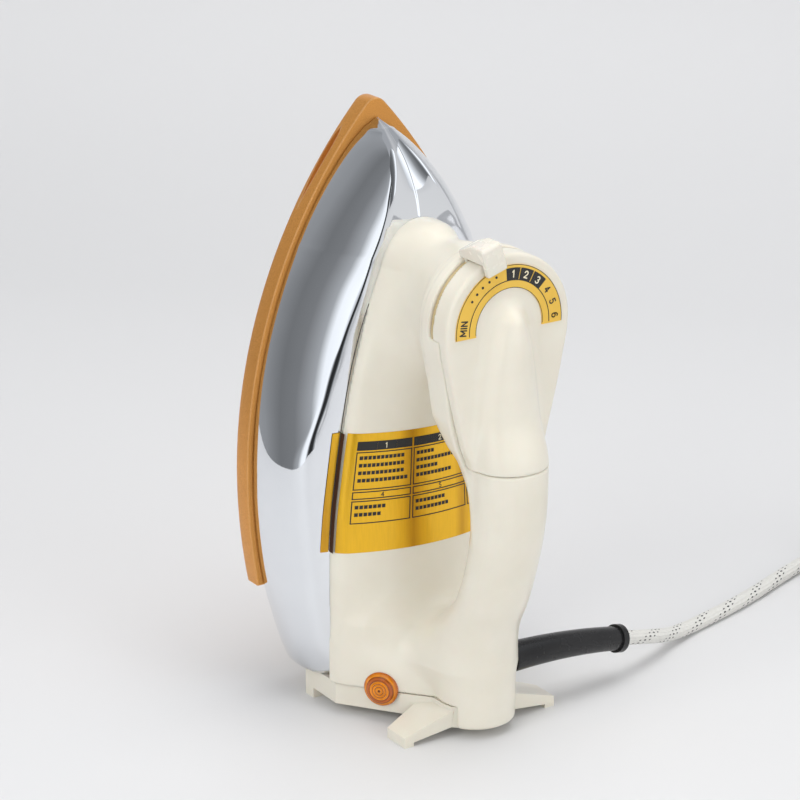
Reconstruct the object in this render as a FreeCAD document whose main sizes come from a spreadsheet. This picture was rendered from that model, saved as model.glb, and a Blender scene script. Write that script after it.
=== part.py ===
"""A dry clothes iron that stands on its heel, as separate pieces, in millimetres.

+Z runs from the heel to the nose, +X from the ironing face to the handle, and +Y to the
cord's side. Pieces are drawn with the ironing face at X = 0 and then moved back by half
of the overall depth, so that the origin is the middle of the footprint on the floor.
"""

import FreeCAD, Part
import math
import os
from FreeCAD import Placement, Rotation, Vector
import Sketcher

doc = FreeCAD.newDocument("clothes_iron")

# ---------------------------------------------------------------- driving dimensions
SIZES = [
    ("overall_length", 245.0, "heel to nose, standing height"),
    ("overall_depth", 119.0, "ironing face to the crest of the handle"),
    ("sole_half_width", 62.2, "half of the soleplate's greatest width"),
    ("sole_widest", 94.0, "height of the greatest width above the heel"),
    ("sole_heel", 47.7, "height of the soleplate's rear edge"),
    ("sole_heel_radius", 245.0, "side outline below the greatest width"),
    ("nose_radius", 6.0, "rounding of the nose"),
    ("sole_thick", 9.5, "soleplate"),
    ("sole_bevel", 1.1, "bevel round the ironing face"),
    ("groove_low", 1.8, "button groove, nearer wall from the ironing face"),
    ("groove_wide", 2.8, "button groove, width"),
    ("groove_deep", 2.4, "button groove, depth"),
    ("groove_start", 204.0, "button groove, lower end"),
    ("groove_end", 234.0, "button groove, upper end"),
    ("element_inset", 25.0, "heating element, centre line from the sole's edge"),
    ("element_radius", 3.6, "heating element, sheath"),
    ("element_start", 64.0, "heating element, lower ends"),
    ("element_nose", 12.0, "heating element, inner bend"),
    ("terminal_long", 12.0, "element terminal, length"),
    ("terminal_radius", 1.6, "element terminal"),
    ("weight_thick", 7.0, "pressure plate"),
    ("weight_inset", 13.0, "pressure plate, edge from the sole's edge"),
    ("weight_start", 60.0, "pressure plate, rear edge"),
    ("stud_radius", 2.5, "studs that clamp the stack"),
    ("stud_front", 148.0, "front stud, height"),
    ("stud_rear", 84.0, "rear studs, height"),
    ("stud_rear_apart", 44.0, "rear studs, distance apart"),
    ("stud_play", 0.3, "stud in its hole, radial"),
    ("bolt_height", 190.5, "bolt that holds the front of the handle, height"),
    ("nut_across", 8.0, "nut, across flats"),
    ("nut_thick", 4.0, "nut"),
    ("cover_foot", 10.0, "chrome cover, lower edge above the ironing face"),
    ("cover_inset", 2.6, "chrome cover, lower edge inside the sole's edge"),
    ("cover_wall", 1.0, "chrome cover, sheet"),
    ("cover_top", 41.4, "chrome cover, outer face under the handle"),
    ("cover_heel", 13.5, "chrome cover, lowest edge"),
    ("seam", 0.4, "gap between neighbouring covers"),
    ("body_wall", 3.0, "handle body, wall"),
    ("skirt_corner", 4.6, "skirt, height of the side above the cover"),
    ("body_low", 13.8, "handle body, lowest edge of the skirt"),
    ("label_thick", 0.5, "label plate"),
    ("label_low", 71.0, "label plate, lower edge"),
    ("label_high", 120.5, "label plate, upper edge"),
    ("head_centre", 174.7, "dial centre above the heel"),
    ("head_radius", 28.6, "head round the dial"),
    ("head_low", 78.0, "head, face towards the soleplate"),
    ("slot_low", 90.6, "lever slot, nearer wall"),
    ("slot_wide", 2.8, "lever slot, width"),
    ("slot_deep", 7.0, "lever slot, depth in from the rim"),
    ("cap_face", 102.6, "handle cap, flat face that carries the dial"),
    ("cap_seam", 119.0, "handle cap, lower end above the heel"),
    ("cap_skirt", 97.6, "handle cap, joint face against the handle body"),
    ("dial_radius", 24.5, "dial scale, outer edge"),
    ("dial_hole", 15.4, "dial scale, inner edge"),
    ("dial_thick", 0.5, "dial scale"),
    ("dial_drop", 1.7, "dial scale, ends below the centre"),
    ("disc_radius", 26.0, "lever disc"),
    ("disc_thick", 1.8, "lever disc"),
    ("lever_turn", 18.0, "lever at rest, degrees from the top towards -Y"),
    ("lever_wide", 9.0, "lever tab, width"),
    ("lever_reach", 36.0, "lever tab, outer end from the dial centre"),
    ("lever_top", 106.6, "lever tab, outer face"),
    ("lever_play", 0.35, "lever tab over the cap's face and rim"),
    ("spindle_radius", 3.0, "thermostat spindle"),
    ("spindle_play", 0.3, "spindle in its bore, radial"),
    ("thermostat_radius", 13.5, "thermostat base"),
    ("thermostat_thick", 3.0, "thermostat base"),
    ("thermostat_stack", 8.0, "thermostat stack on its base"),
    ("lamp_radius", 7.25, "pilot lamp lens"),
    ("lamp_proud", 2.8, "pilot lamp lens, proud of the wall"),
    ("lamp_across", 60.0, "pilot lamp, from the ironing face"),
    ("lamp_aside", 30.4, "pilot lamp, from the middle plane"),
    ("lamp_height", 14.6, "pilot lamp, above the floor"),
    ("foot_radius", 16.5, "handle foot"),
    ("foot_across", 82.0, "handle foot, centre from the ironing face"),
    ("heel_low", 4.5, "heel cover, underside"),
    ("heel_high", 13.4, "heel cover, upper rim"),
    ("heel_half_width", 42.0, "heel cover, half width"),
    ("heel_front", 20.0, "heel cover, edge nearest the soleplate"),
    ("heel_wall", 2.6, "heel cover, wall and floor"),
    ("wing_reach", 36.7, "heel wings, from the middle plane"),
    ("wing_end", 86.5, "heel wings, from the ironing face"),
    ("bracket_thick", 1.2, "heel bracket, sheet"),
    ("block_long", 30.0, "terminal block, length"),
    ("block_wide", 12.0, "terminal block, width"),
    ("block_high", 9.5, "terminal block, height"),
    ("cord_radius", 3.05, "cord, over the braid"),
    ("exit_height", 25.5, "cord protector, above the floor"),
    ("exit_across", 83.0, "cord protector, from the ironing face"),
    ("protector_radius", 6.3, "cord protector at the handle"),
    ("protector_tip", 5.1, "cord protector at its free end"),
    ("protector_lip", 6.0, "cord protector, rolled lip"),
    ("coil_radius", 33.0, "put-away coil, middle of its turns"),
    ("coil_half", 9.6, "put-away coil, half of its section"),
    ("plug_long", 34.0, "plug body"),
    ("pin_radius", 2.4, "plug pin"),
    ("pin_long", 19.0, "plug pin"),
    ("pin_apart", 19.0, "plug pins, centre to centre"),
]

sheet = doc.addObject("Spreadsheet::Sheet", "Sizes")
for row, (name, value, meaning) in enumerate(SIZES, 1):
    sheet.set(f"A{row}", name)
    sheet.set(f"B{row}", str(value))
    sheet.setAlias(f"B{row}", name)
    sheet.set(f"C{row}", meaning)
doc.recompute()


class Size:
    """A number together with the sheet expression that gives it."""

    def __init__(self, value, text):
        self.value, self.text = value, text

    def joined(self, sign, other, value):
        text = other.text if isinstance(other, Size) else repr(float(other))
        return Size(value, f"({self.text} {sign} {text})")

    def __add__(self, other):
        return self.joined("+", other, self.value + float(other))

    def __sub__(self, other):
        return self.joined("-", other, self.value - float(other))

    def __mul__(self, other):
        return self.joined("*", other, self.value * float(other))

    def __truediv__(self, other):
        return self.joined("/", other, self.value / float(other))

    def __neg__(self):
        return self * -1

    def __float__(self):
        return float(self.value)


class Sheet:
    """The driving dimensions by name."""


z = Sheet()
for name, value, meaning in SIZES:
    setattr(z, name, Size(float(sheet.get(name)), f"Sizes.{name}"))
ZERO = Size(0.0, "0")


def number(name):
    """A driving dimension as a plain number."""
    return float(getattr(z, name))


# ---------------------------------------------------------------- helpers
kept = []


def keep(obj, node, x=ZERO):
    """Names a finished piece and moves it so that the footprint's middle is at X = 0."""
    obj.Label = node
    obj.setExpression("Placement.Base.x", (x - z.overall_depth / 2).text)
    kept.append(obj)
    return obj


def solid_feature(node, shape):
    """A piece whose shape is computed from the sheet's values."""
    obj = doc.addObject("Part::Feature", node)
    obj.Shape = shape
    return keep(obj, node)


def plane_of(body, role):
    return next(f for f in body.Origin.OriginFeatures if f.Role == role)


def new_body(node):
    return keep(doc.addObject("PartDesign::Body", node), node)


def new_sketch(body, name, role, offset=ZERO):
    sketch = body.newObject("Sketcher::SketchObject", name)
    sketch.AttachmentSupport = [(plane_of(body, role), "")]
    sketch.MapMode = "FlatFace"
    sketch.setExpression("AttachmentOffset.Base.z", offset.text)
    return sketch


def fix_point(sketch, geometry, vertex, across, up):
    for kind, size in (("DistanceX", across), ("DistanceY", up)):
        rule = Sketcher.Constraint(kind, -1, 1, geometry, vertex, float(size))
        sketch.setExpression(f"Constraints[{sketch.addConstraint(rule)}]", size.text)


def draw_polygon(sketch, corners):
    """A closed outline whose corners are pairs of sizes."""
    points = [Vector(float(a), float(b), 0) for a, b in corners]
    first = sketch.GeometryCount
    for here, there in zip(points, points[1:] + points[:1]):
        sketch.addGeometry(Part.LineSegment(here, there))
    for n, (across, up) in enumerate(corners):
        before = first + (n - 1) % len(corners)
        sketch.addConstraint(Sketcher.Constraint("Coincident", before, 2, first + n, 1))
        fix_point(sketch, first + n, 1, across, up)


def draw_circle(sketch, across, up, radius):
    centre = Vector(float(across), float(up), 0)
    n = sketch.addGeometry(Part.Circle(centre, Vector(0, 0, 1), float(radius)))
    fix_point(sketch, n, 3, across, up)
    rule = Sketcher.Constraint("Radius", n, float(radius))
    sketch.setExpression(f"Constraints[{sketch.addConstraint(rule)}]", radius.text)


def pad(body, name, sketch, length, reverse=False):
    feature = body.newObject("PartDesign::Pad", name)
    feature.Profile = sketch
    feature.Reversed = reverse
    feature.setExpression("Length", length.text)
    return feature


def pocket(body, name, sketch, length, reverse=False):
    feature = body.newObject("PartDesign::Pocket", name)
    feature.Profile = sketch
    feature.Reversed = reverse
    feature.setExpression("Length", length.text)
    return feature


def rectangle(left, right, low, high):
    return [(left, low), (right, low), (right, high), (left, high)]


def box(low, high):
    """A box between two corners."""
    side = [b - a for a, b in zip(low, high)]
    return Part.makeBox(*side, Vector(*low))


def rod(radius, length, start, direction=(1, 0, 0)):
    return Part.makeCylinder(radius, length, Vector(*start), Vector(*direction))


def loft(wires, ruled=False):
    shape = Part.makeLoft(wires, True, ruled)
    return shape if shape.Volume > 0 else shape.reversed()


def polygon_wire(points):
    return Part.makePolygon([Vector(*p) for p in points] + [Vector(*points[0])])


def prism(points, direction):
    return Part.Face(polygon_wire(points)).extrude(Vector(*direction))


def mirrored(shape):
    """The same shape on the other side of the middle plane."""
    return shape.mirror(Vector(0, 0, 0), Vector(0, 1, 0))


def fused(shapes):
    shape = shapes[0].fuse(shapes[1:]).removeSplitter()
    return shape.Solids[0] if len(shape.Solids) == 1 else shape


# ---------------------------------------------------------------- the boat outline
LENGTH, WIDE, WIDEST = number("overall_length"), number("sole_half_width"), number("sole_widest")
NOSE, HEEL, THICK = number("nose_radius"), number("sole_heel"), number("sole_thick")
TO_NOSE = LENGTH - NOSE - WIDEST
# radius of the side that is upright at the greatest width and tangent to the nose
SIDE_RADIUS = (WIDE**2 + TO_NOSE**2 - NOSE**2) / (2 * (WIDE - NOSE))
HEEL_RADIUS = number("sole_heel_radius")


def side_at(height, inset=0.0):
    """Half width of the outline at a height above the heel."""
    radius = SIDE_RADIUS if height > WIDEST else HEEL_RADIUS
    reach = math.sqrt(max((radius - inset) ** 2 - (height - WIDEST) ** 2, 0.0))
    return WIDE - radius + reach


def boat_edges(inset, low, x, nose):
    """Edges of the outline, from the left lower corner over the nose to the right."""
    radius = SIDE_RADIUS - inset
    centre_y = WIDE - SIDE_RADIUS
    nose_z = WIDEST + math.sqrt((radius - nose) ** 2 - centre_y**2)
    angle = math.atan2(nose_z - WIDEST, -centre_y)
    touch = (nose * math.cos(angle), nose_z + nose * math.sin(angle))
    middle = angle / 2
    half = (centre_y + radius * math.cos(middle), WIDEST + radius * math.sin(middle))
    right = [
        Part.Arc(Vector(x, touch[0], touch[1]), Vector(x, *half), Vector(x, WIDE - inset, WIDEST)),
    ]
    if low < WIDEST:
        between = (low + WIDEST) / 2
        right.append(
            Part.Arc(
                Vector(x, WIDE - inset, WIDEST),
                Vector(x, side_at(between, inset), between),
                Vector(x, side_at(low, inset), low),
            )
        )
    right = [arc.toShape() for arc in right]
    tip = Part.Arc(
        Vector(x, -touch[0], touch[1]), Vector(x, 0, nose_z + nose), Vector(x, *touch)
    ).toShape()
    left = [mirrored(edge) for edge in reversed(right)]
    return left + [tip] + right


def boat(inset, low, x, thick, nose):
    """A plate of the outline moved in by inset, cut off at low."""
    edges = boat_edges(inset, low, x, nose)
    rear = Part.makeLine(Vector(x, side_at(low, inset), low), Vector(x, -side_at(low, inset), low))
    wire = Part.Wire(Part.__sortEdges__(edges + [rear]))
    return Part.Face(wire).extrude(Vector(thick, 0, 0))


STUDS = [
    (0.0, number("stud_front")),
    (-number("stud_rear_apart") / 2, number("stud_rear")),
    (number("stud_rear_apart") / 2, number("stud_rear")),
]


# ---------------------------------------------------------------- soleplate and heater
def make_soleplate():
    plate = boat(0, HEEL, 0, THICK, NOSE)
    face_edges = [e for e in plate.Edges if e.BoundBox.XMax < 0.01]
    plate = plate.makeChamfer(number("sole_bevel"), face_edges)
    low, wide = number("groove_low"), number("groove_wide")
    start, end = number("groove_start"), number("groove_end")
    ring = boat(-NOSE, start, low, wide, NOSE).cut(
        boat(number("groove_deep"), HEEL, low, wide, NOSE - number("groove_deep"))
    )
    band = box((low, -WIDE, start), (low + wide, WIDE, end))
    solid_feature("soleplate", plate.cut(ring.common(band)))


def element_path(x):
    """Centre line of the heating element."""
    edges = boat_edges(
        number("element_inset"), number("element_start"), x, number("element_nose")
    )
    return Part.Wire(Part.__sortEdges__(edges))


ELEMENT_RADIUS = number("element_radius")
ELEMENT_X = THICK + ELEMENT_RADIUS
ELEMENT_END = side_at(number("element_start"), number("element_inset"))


def make_element():
    path = element_path(ELEMENT_X)
    start = path.OrderedEdges[0]
    point = start.valueAt(start.FirstParameter)
    tangent = start.tangentAt(start.FirstParameter)
    section = Part.Wire(Part.makeCircle(ELEMENT_RADIUS, point, tangent))
    solid_feature("heating_element", path.makePipeShell([section], True, False))
    radius, length = number("terminal_radius"), number("terminal_long")
    pins = []
    low = number("element_start")
    slope = Vector(0, ELEMENT_END - side_at(low + 1, number("element_inset")), -1).normalize()
    for side in (1, -1):
        away = Vector(0, side * slope.y, slope.z)
        base = Vector(ELEMENT_X, side * ELEMENT_END, low)
        pins.append(Part.makeCylinder(radius, length, base, away))
        collar = Part.makeCylinder(ELEMENT_RADIUS * 0.8, length / 3, base, away)
        pins[-1] = fused([pins[-1], collar])
    solid_feature("element_terminals", Part.makeCompound(pins))


def stud_holes(start, length, radius):
    return [rod(radius, length, (start, y, height)) for y, height in STUDS]


WEIGHT_X = THICK + 2 * ELEMENT_RADIUS
COVER_UNDER = number("cover_top") - number("cover_wall")
STUD_HOLE = number("stud_radius") + number("stud_play")


def make_pressure_plate():
    thick = number("weight_thick")
    plate = boat(number("weight_inset"), number("weight_start"), WEIGHT_X, thick, 3.0)
    holes = stud_holes(WEIGHT_X, thick, STUD_HOLE)
    window = number("thermostat_radius") + 2.0
    holes.append(rod(window, thick, (WEIGHT_X, 0, number("head_centre"))))
    solid_feature("pressure_plate", plate.cut(holes))


def make_studs():
    """Studs from the soleplate through the pressure plate and cover, with their nuts."""
    radius, across, thick = number("stud_radius"), number("nut_across"), number("nut_thick")
    top = number("cover_top") + thick + 1.0
    studs = [rod(radius, top - THICK, (THICK, y, height)) for y, height in STUDS]
    solid_feature("sole_studs", Part.makeCompound(studs))
    corner = across / math.sqrt(3)
    nuts = []
    for base in (WEIGHT_X + number("weight_thick"), number("cover_top")):
        for y, height in STUDS:
            ring = [
                (base, y + corner * math.cos(a), height + corner * math.sin(a))
                for a in (math.radians(60 * n) for n in range(6))
            ]
            nuts.append(prism(ring, (thick, 0, 0)).cut(rod(radius, thick, (base, y, height))))
    solid_feature("stud_nuts", Part.makeCompound(nuts))


def make_handle_bolt():
    """The bolt from inside the cover into the front of the handle body."""
    radius, thick, height = number("stud_radius"), number("nut_thick") - 1.0, number("bolt_height")
    head = rod(number("nut_across") / 2, thick, (COVER_UNDER - thick, 0, height))
    shank = rod(radius, 7.0, (COVER_UNDER, 0, height))
    solid_feature("handle_bolt", fused([head, shank]))


# ---------------------------------------------------------------- thermostat and lever
HEAD_Z = number("head_centre")
DISC_X = number("slot_low") + (number("slot_wide") - number("disc_thick")) / 2


def make_thermostat():
    body = new_body("thermostat_body")
    base = new_sketch(body, "thermostat_base_outline", "YZ_Plane", z.sole_thick)
    draw_circle(base, ZERO, z.head_centre, z.thermostat_radius)
    pad(body, "thermostat_base", base, z.thermostat_thick)
    stack = new_sketch(
        body, "thermostat_stack_outline", "YZ_Plane", z.sole_thick + z.thermostat_thick
    )
    half = z.thermostat_radius * 0.45
    draw_polygon(
        stack, rectangle(-half, half, z.head_centre - half * 1.4, z.head_centre + half * 1.4)
    )
    pad(body, "thermostat_stack_block", stack, z.thermostat_stack)


def make_spindle():
    """The spindle runs from the thermostat's stack to just above the lever disc."""
    start = z.sole_thick + z.thermostat_thick + z.thermostat_stack + 0.2
    body = new_body("thermostat_spindle")
    outline = new_sketch(body, "spindle_outline", "YZ_Plane", start)
    draw_circle(outline, ZERO, z.head_centre, z.spindle_radius)
    pad(body, "spindle_rod", outline, z.slot_low + z.slot_wide + 3.0 - start)


def make_disc():
    body = new_body("lever_disc")
    offset = z.slot_low + (z.slot_wide - z.disc_thick) / 2
    outline = new_sketch(body, "disc_outline", "YZ_Plane", offset)
    draw_circle(outline, ZERO, z.head_centre, z.disc_radius)
    draw_circle(outline, ZERO, z.head_centre, z.spindle_radius)
    pad(body, "disc_plate", outline, z.disc_thick)


def make_lever():
    """The tab that stands out of the slot and folds over the cap's face."""
    half, reach, top = number("lever_wide") / 2, number("lever_reach"), number("lever_top")
    play, rim = number("lever_play"), number("head_radius")
    low, face = number("slot_low"), number("cap_face")
    disc = number("disc_radius")
    stem = box((DISC_X, -half, disc), (DISC_X + number("disc_thick"), half, rim + play + 1.0))
    outer = box((low - 2.0, -half, rim + play), (top, half, reach))
    over = face + number("dial_thick") + play
    fold = box((over, -half, number("dial_radius") - 0.5), (top, half, rim + play + 1.0))
    tab = fused([stem, outer, fold])
    corners = [
        e for e in tab.Edges if abs(e.tangentAt(e.FirstParameter).y) > 0.99 and e.BoundBox.XMin > low
    ]
    crest = [e for e in corners if e.BoundBox.XMin > top - 0.1]
    tab = tab.makeFillet(1.6, crest)
    slope = prism(
        [(low - 3, -half - 1, reach + 0.1), (low + 9, -half - 1, reach + 0.1), (low - 3, -half - 1, rim + 3)],
        (0, 2 * half + 2, 0),
    )
    tab = tab.cut(slope)
    tab.translate(Vector(0, 0, HEAD_Z))
    tab.rotate(Vector(0, 0, HEAD_Z), Vector(1, 0, 0), number("lever_turn"))
    seat = rod(disc, number("disc_thick"), (DISC_X, 0, HEAD_Z))
    solid_feature("temperature_lever", tab.cut(seat))


# ---------------------------------------------------------------- chrome cover
# height, ridge from the ironing face, ridge from the middle plane
COVER_STATIONS = [
    (13.5, 37.0, 44.0),
    (30.0, 38.5, 46.4),
    (47.7, 39.0, 48.8),
    (80.0, 39.5, 50.8),
    (105.0, 40.4, 52.0),
    (119.0, 41.0, 50.2),
    (133.0, 41.2, 44.6),
    (151.0, 41.3, 37.5),
    (177.0, 42.0, 26.1),
    (196.5, 43.2, 18.8),
    (200.0, 43.0, 17.2),
    (215.0, 39.0, 10.5),
    (230.0, 25.4, 3.6),
    (238.0, 12.0, 1.0),
]
# height, half width of the cream skirt on the cover, crest of its back
SKIRT_STATIONS = [
    (15.0, 43.8, 56.5),
    (41.0, 43.5, 56.5),
    (67.0, 43.3, 56.0),
    (101.0, 40.2, 55.4),
    (124.0, 36.7, 54.6),
    (146.0, 32.3, 54.0),
    (166.0, 26.2, 53.5),
    (183.0, 19.1, 52.5),
    (191.5, 14.4, 51.5),
    (196.5, 9.7, 50.0),
]


def between(stations, height):
    """The stations' values at a height, on straight lines between them."""
    if height <= stations[0][0]:
        return stations[0][1:]
    for low, high in zip(stations, stations[1:]):
        if height <= high[0]:
            share = (height - low[0]) / (high[0] - low[0])
            return tuple(a + share * (b - a) for a, b in zip(low[1:], high[1:]))
    return stations[-1][1:]


def cover_half_width(height):
    """Half width of the cover's lower edge, which runs on below the soleplate's heel."""
    if height >= HEEL:
        return side_at(height) - number("cover_inset")
    share = (HEEL - height) / (HEEL - number("cover_heel"))
    return side_at(HEEL) - number("cover_inset") - 10.5 * share**1.25


def cover_section(station, wall):
    height, ridge_x, ridge_y = station
    foot = number("cover_foot")
    half = max(cover_half_width(height) - wall, 0.35)
    ridge = (ridge_x - wall, max(ridge_y - wall / 2, 0.3))
    middle = ((foot + ridge[0]) / 2, (half + ridge[1]) / 2 + 0.07 * (half - ridge[1]) + 0.6)
    if height > SKIRT_STATIONS[-1][0]:
        inner = (ridge[0] - 0.6, ridge[1] * 0.4)
    else:
        skirt = between(SKIRT_STATIONS, height)[0]
        inner = (number("cover_top") - wall, skirt + 0.6 - wall)
    right = [(foot - (0.5 if wall else 0), half), middle, ridge, inner]
    points = right + [(x, -y) for x, y in reversed(right)]
    return polygon_wire([(x, y, height) for x, y in points])


def make_cover():
    outer = loft([cover_section(s, 0.0) for s in COVER_STATIONS], True)
    wall = number("cover_wall")
    inner = [list(s) for s in COVER_STATIONS[:-1]]
    inner[0][0] -= 1.0
    hollow = loft([cover_section(s, wall) for s in inner], True)
    holes = stud_holes(COVER_UNDER - 2, 6.0, STUD_HOLE)
    holes.append(rod(number("spindle_radius") + 2.0, 12.0, (COVER_UNDER - 6, 0, HEAD_Z)))
    holes.append(box((COVER_UNDER - 3, -20, 22), (COVER_UNDER + 3, 20, 44)))
    holes.append(rod(STUD_HOLE, 4.0, (COVER_UNDER - 2, 0, number("bolt_height"))))
    cover = outer.cut([hollow] + holes)
    above = box((THICK + number("seam"), -WIDE, 0), (60, WIDE, LENGTH))
    solid_feature("chrome_cover", cover.common(above))


# ---------------------------------------------------------------- handle body
SKIRT_LOW = number("cover_top") + number("seam")
CORNER_X = SKIRT_LOW + number("skirt_corner")
# height, centre from the ironing face, half depth, half width
GRIP_STATIONS = [
    (4.5, 82.0, 16.5, 16.5),
    (28.0, 82.6, 16.5, 16.5),
    (44.0, 84.8, 16.6, 16.0),
    (58.0, 94.0, 13.4, 14.7),
    (75.0, 100.0, 12.3, 15.0),
    (88.0, 103.2, 13.1, 15.2),
    (100.0, 105.0, 13.4, 15.2),
    (110.0, 105.4, 13.4, 15.2),
    (119.0, 105.4, 13.4, 15.2),
]
# from the ironing face, height of the centre, half height, half width
NECK_STATIONS = [
    (47.0, 169.0, 26.0, 14.0),
    (62.0, 174.0, 25.0, 17.5),
    (79.0, 174.7, 26.5, 23.5),
]
# height, half width of the head below the dial
HEAD_OUTLINE = [(157.0, 25.6), (141.0, 22.2), (127.0, 18.6), (119.0, 15.2)]


def saddle_section(station, inset):
    """The skirt's section: two upright sides under one low arch."""
    height, half, crest = station
    low = SKIRT_LOW - (1.0 if inset else 0.0)
    half -= inset
    left = [Vector(low, -half, height), Vector(CORNER_X - inset, -half, height)]
    right = [Vector(CORNER_X - inset, half, height), Vector(low, half, height)]
    top = Vector(crest - inset, 0, height)
    edges = [
        Part.makeLine(left[0], left[1]),
        Part.Arc(left[1], top, right[0]).toShape(),
        Part.makeLine(right[0], right[1]),
        Part.makeLine(right[1], left[0]),
    ]
    return Part.Wire(edges)


def saddle(inset, low, high):
    """The skirt between two heights, moved in by inset."""
    heights = [low] + [s[0] for s in SKIRT_STATIONS if low < s[0] < high] + [high]
    sections = []
    for height in heights:
        half, crest = between(SKIRT_STATIONS, height)
        sections.append(saddle_section((height, half, crest), inset))
    return loft(sections, True)


def oval(centre, half_x, half_y, half_z):
    """An ellipse round centre in the plane whose half size is None."""
    shrink = FreeCAD.Matrix()
    if half_z is None:
        circle = Part.makeCircle(1.0)
        shrink.scale(half_x, half_y, 1.0)
    else:
        circle = Part.makeCircle(1.0, Vector(), Vector(1, 0, 0))
        shrink.scale(1.0, half_y, half_z)
    edge = circle.transformGeometry(shrink)
    edge.translate(Vector(*centre))
    return Part.Wire(edge.Edges)


def head_outline(x, radius, low):
    """The head's outline: round over the dial, then tapering down to the grip."""
    side = [(radius, HEAD_Z - 4.0)] + [p[::-1] for p in HEAD_OUTLINE]
    side = [p for p in side if p[1] >= low]
    right = [Vector(x, y, height) for y, height in side]
    left = [Vector(x, -y, height) for y, height in reversed(side)]
    over = Part.Arc(left[-1], Vector(x, 0, HEAD_Z + radius), right[0]).toShape()
    return Part.Wire([over, Part.makePolygon(right + left)])


def head_block(low, high, radius, cut_low):
    return Part.Face(head_outline(low, radius, cut_low)).extrude(Vector(high - low, 0, 0))


FOOT_STATIONS = [
    (number("body_low"), [(43.5, 43.8), (46.0, 42.6), (68.0, 24.0), (80.0, 16.4)]),
    (40.0, [(43.5, 43.4), (46.4, 41.8), (64.0, 23.0), (80.0, 14.0)]),
    (56.0, [(43.5, 43.2), (46.4, 41.5), (54.0, 20.0), (56.0, 6.0)]),
]


def foot_block(inset):
    """The oblique faces between the skirt and the handle's foot."""
    wires = []
    for height, side in FOOT_STATIONS:
        right = [(x - inset, y - inset) for x, y in side]
        points = [(SKIRT_LOW, right[0][1])] + right
        points += [(x, -y) for x, y in reversed(points)]
        wires.append(polygon_wire([(x, y, height) for x, y in points]))
    return loft(wires, True)


def slot_space(radius):
    """The thin round space that the lever disc turns in, open over the top."""
    low, wide = number("slot_low"), number("slot_wide")
    pocket = rod(number("disc_radius") + number("spindle_play"), wide, (low, 0, HEAD_Z))
    upper = rod(radius + 1.0, wide, (low, 0, HEAD_Z))
    half = box((low, -40, HEAD_Z - 3.0), (low + wide, 40, HEAD_Z + 40))
    return fused([pocket, upper.common(half)])


def make_body_and_label():
    top = SKIRT_STATIONS[-1][0] + 1.0
    outer = saddle(0.0, number("body_low"), top)
    grip = loft([oval((x, 0, h), a, b, None) for h, x, a, b in GRIP_STATIONS])
    neck = loft([oval((x, 0, h), None, b, a) for x, h, a, b in NECK_STATIONS])
    joint, radius = number("cap_skirt"), number("head_radius")
    low, seam = number("head_low"), number("cap_seam")
    head = head_block(low, joint, radius, seam)
    under = [(low - 1, -40, seam - 1), (91.5, -40, seam - 1), (91.5, -40, seam + 1), (low, -40, 147.0)]
    head = head.cut(prism(under + [(low - 1, -40, 149.0)], (0, 80, 0)))
    over = box((number("slot_low"), -40, HEAD_Z - 3.0), (joint + 1, 40, HEAD_Z + 40))
    whole = fused([outer, foot_block(0.0), grip, neck, head])
    wall = number("body_wall")
    cuts = [
        over,
        slot_space(radius),
        saddle(wall, number("body_low") - 1.0, 186.0),
        foot_block(wall).common(box((40, -50, 0), (90, 50, 40.0 - wall))),
        box((60, -9.5, 13), (88, 9.5, 36)),
        box((50, -6.0, 13), (62, 6.0, 38)),
        box((30, -60, 0), (90.3, 60, number("body_low"))),
        rod(STUD_HOLE, 8.0, (SKIRT_LOW - 1, 0, number("bolt_height"))),
        rod(number("spindle_radius") + number("spindle_play"), 60.0, (45, 0, HEAD_Z)),
        rod(
            number("cord_radius") + 1.2,
            16.0,
            (number("exit_across"), 5.0, number("exit_height")),
            (0, 1, 0),
        ),
        lamp_hole(),
    ] + screw_holes()
    band = box((SKIRT_LOW, -60, number("label_low")), (70, 60, number("label_high")))
    thick = number("label_thick")
    label = outer.cut(saddle(thick, number("label_low") - 5, number("label_high") + 5))
    label = label.common(band)
    body = whole
    for space in cuts + [label]:
        body = body.cut(space)
    pieces = sorted(body.Solids, key=lambda solid: solid.Volume)
    solid_feature("handle_body", pieces[-1])
    solid_feature("label_plate", label)


# ---------------------------------------------------------------- pilot lamp
LAMP_NORMAL = Vector(0.595, -0.80, 0.0).normalize()
LAMP_CENTRE = Vector(number("lamp_across"), -number("lamp_aside"), number("lamp_height"))


def lamp_hole():
    """The round hole through the oblique wall that the lens sits in."""
    start = LAMP_CENTRE - LAMP_NORMAL * 12.0
    return Part.makeCylinder(number("lamp_radius") - 1.2, 21.0, start, LAMP_NORMAL)


def lamp_rod(radius, start, length):
    """A cylinder on the lamp's axis; start is measured outwards from the wall."""
    return Part.makeCylinder(radius, length, LAMP_CENTRE + LAMP_NORMAL * start, LAMP_NORMAL)


def make_lamp():
    radius, proud = number("lamp_radius"), number("lamp_proud")
    shank, bore, bulb = radius - 1.4, 3.4, 2.6
    depth = 6.0
    profile = [
        (0.0, -depth), (shank, -depth), (shank, 0.6), (radius, 0.6),
        (radius - 0.8, proud), (0.0, proud + 0.6),
    ]
    points = [LAMP_CENTRE + Vector(0, 0, r) + LAMP_NORMAL * out for r, out in profile]
    lens = Part.Face(Part.makePolygon(points + points[:1]))
    lens = lens.revolve(LAMP_CENTRE, LAMP_NORMAL, 360).cut(lamp_rod(bore, -depth, 5.4))
    solid_feature("lamp_lens", lens)
    tip = Part.makeSphere(bulb, LAMP_CENTRE - LAMP_NORMAL * 3.6)
    solid_feature("lamp_bulb", lamp_rod(bulb, -depth - 4.0, 6.4).fuse(tip))
    holder = lamp_rod(4.4, -depth - 5.0, 5.0).cut(lamp_rod(bulb, -depth - 4.0, 4.0))
    solid_feature("lamp_holder", holder)


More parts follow.
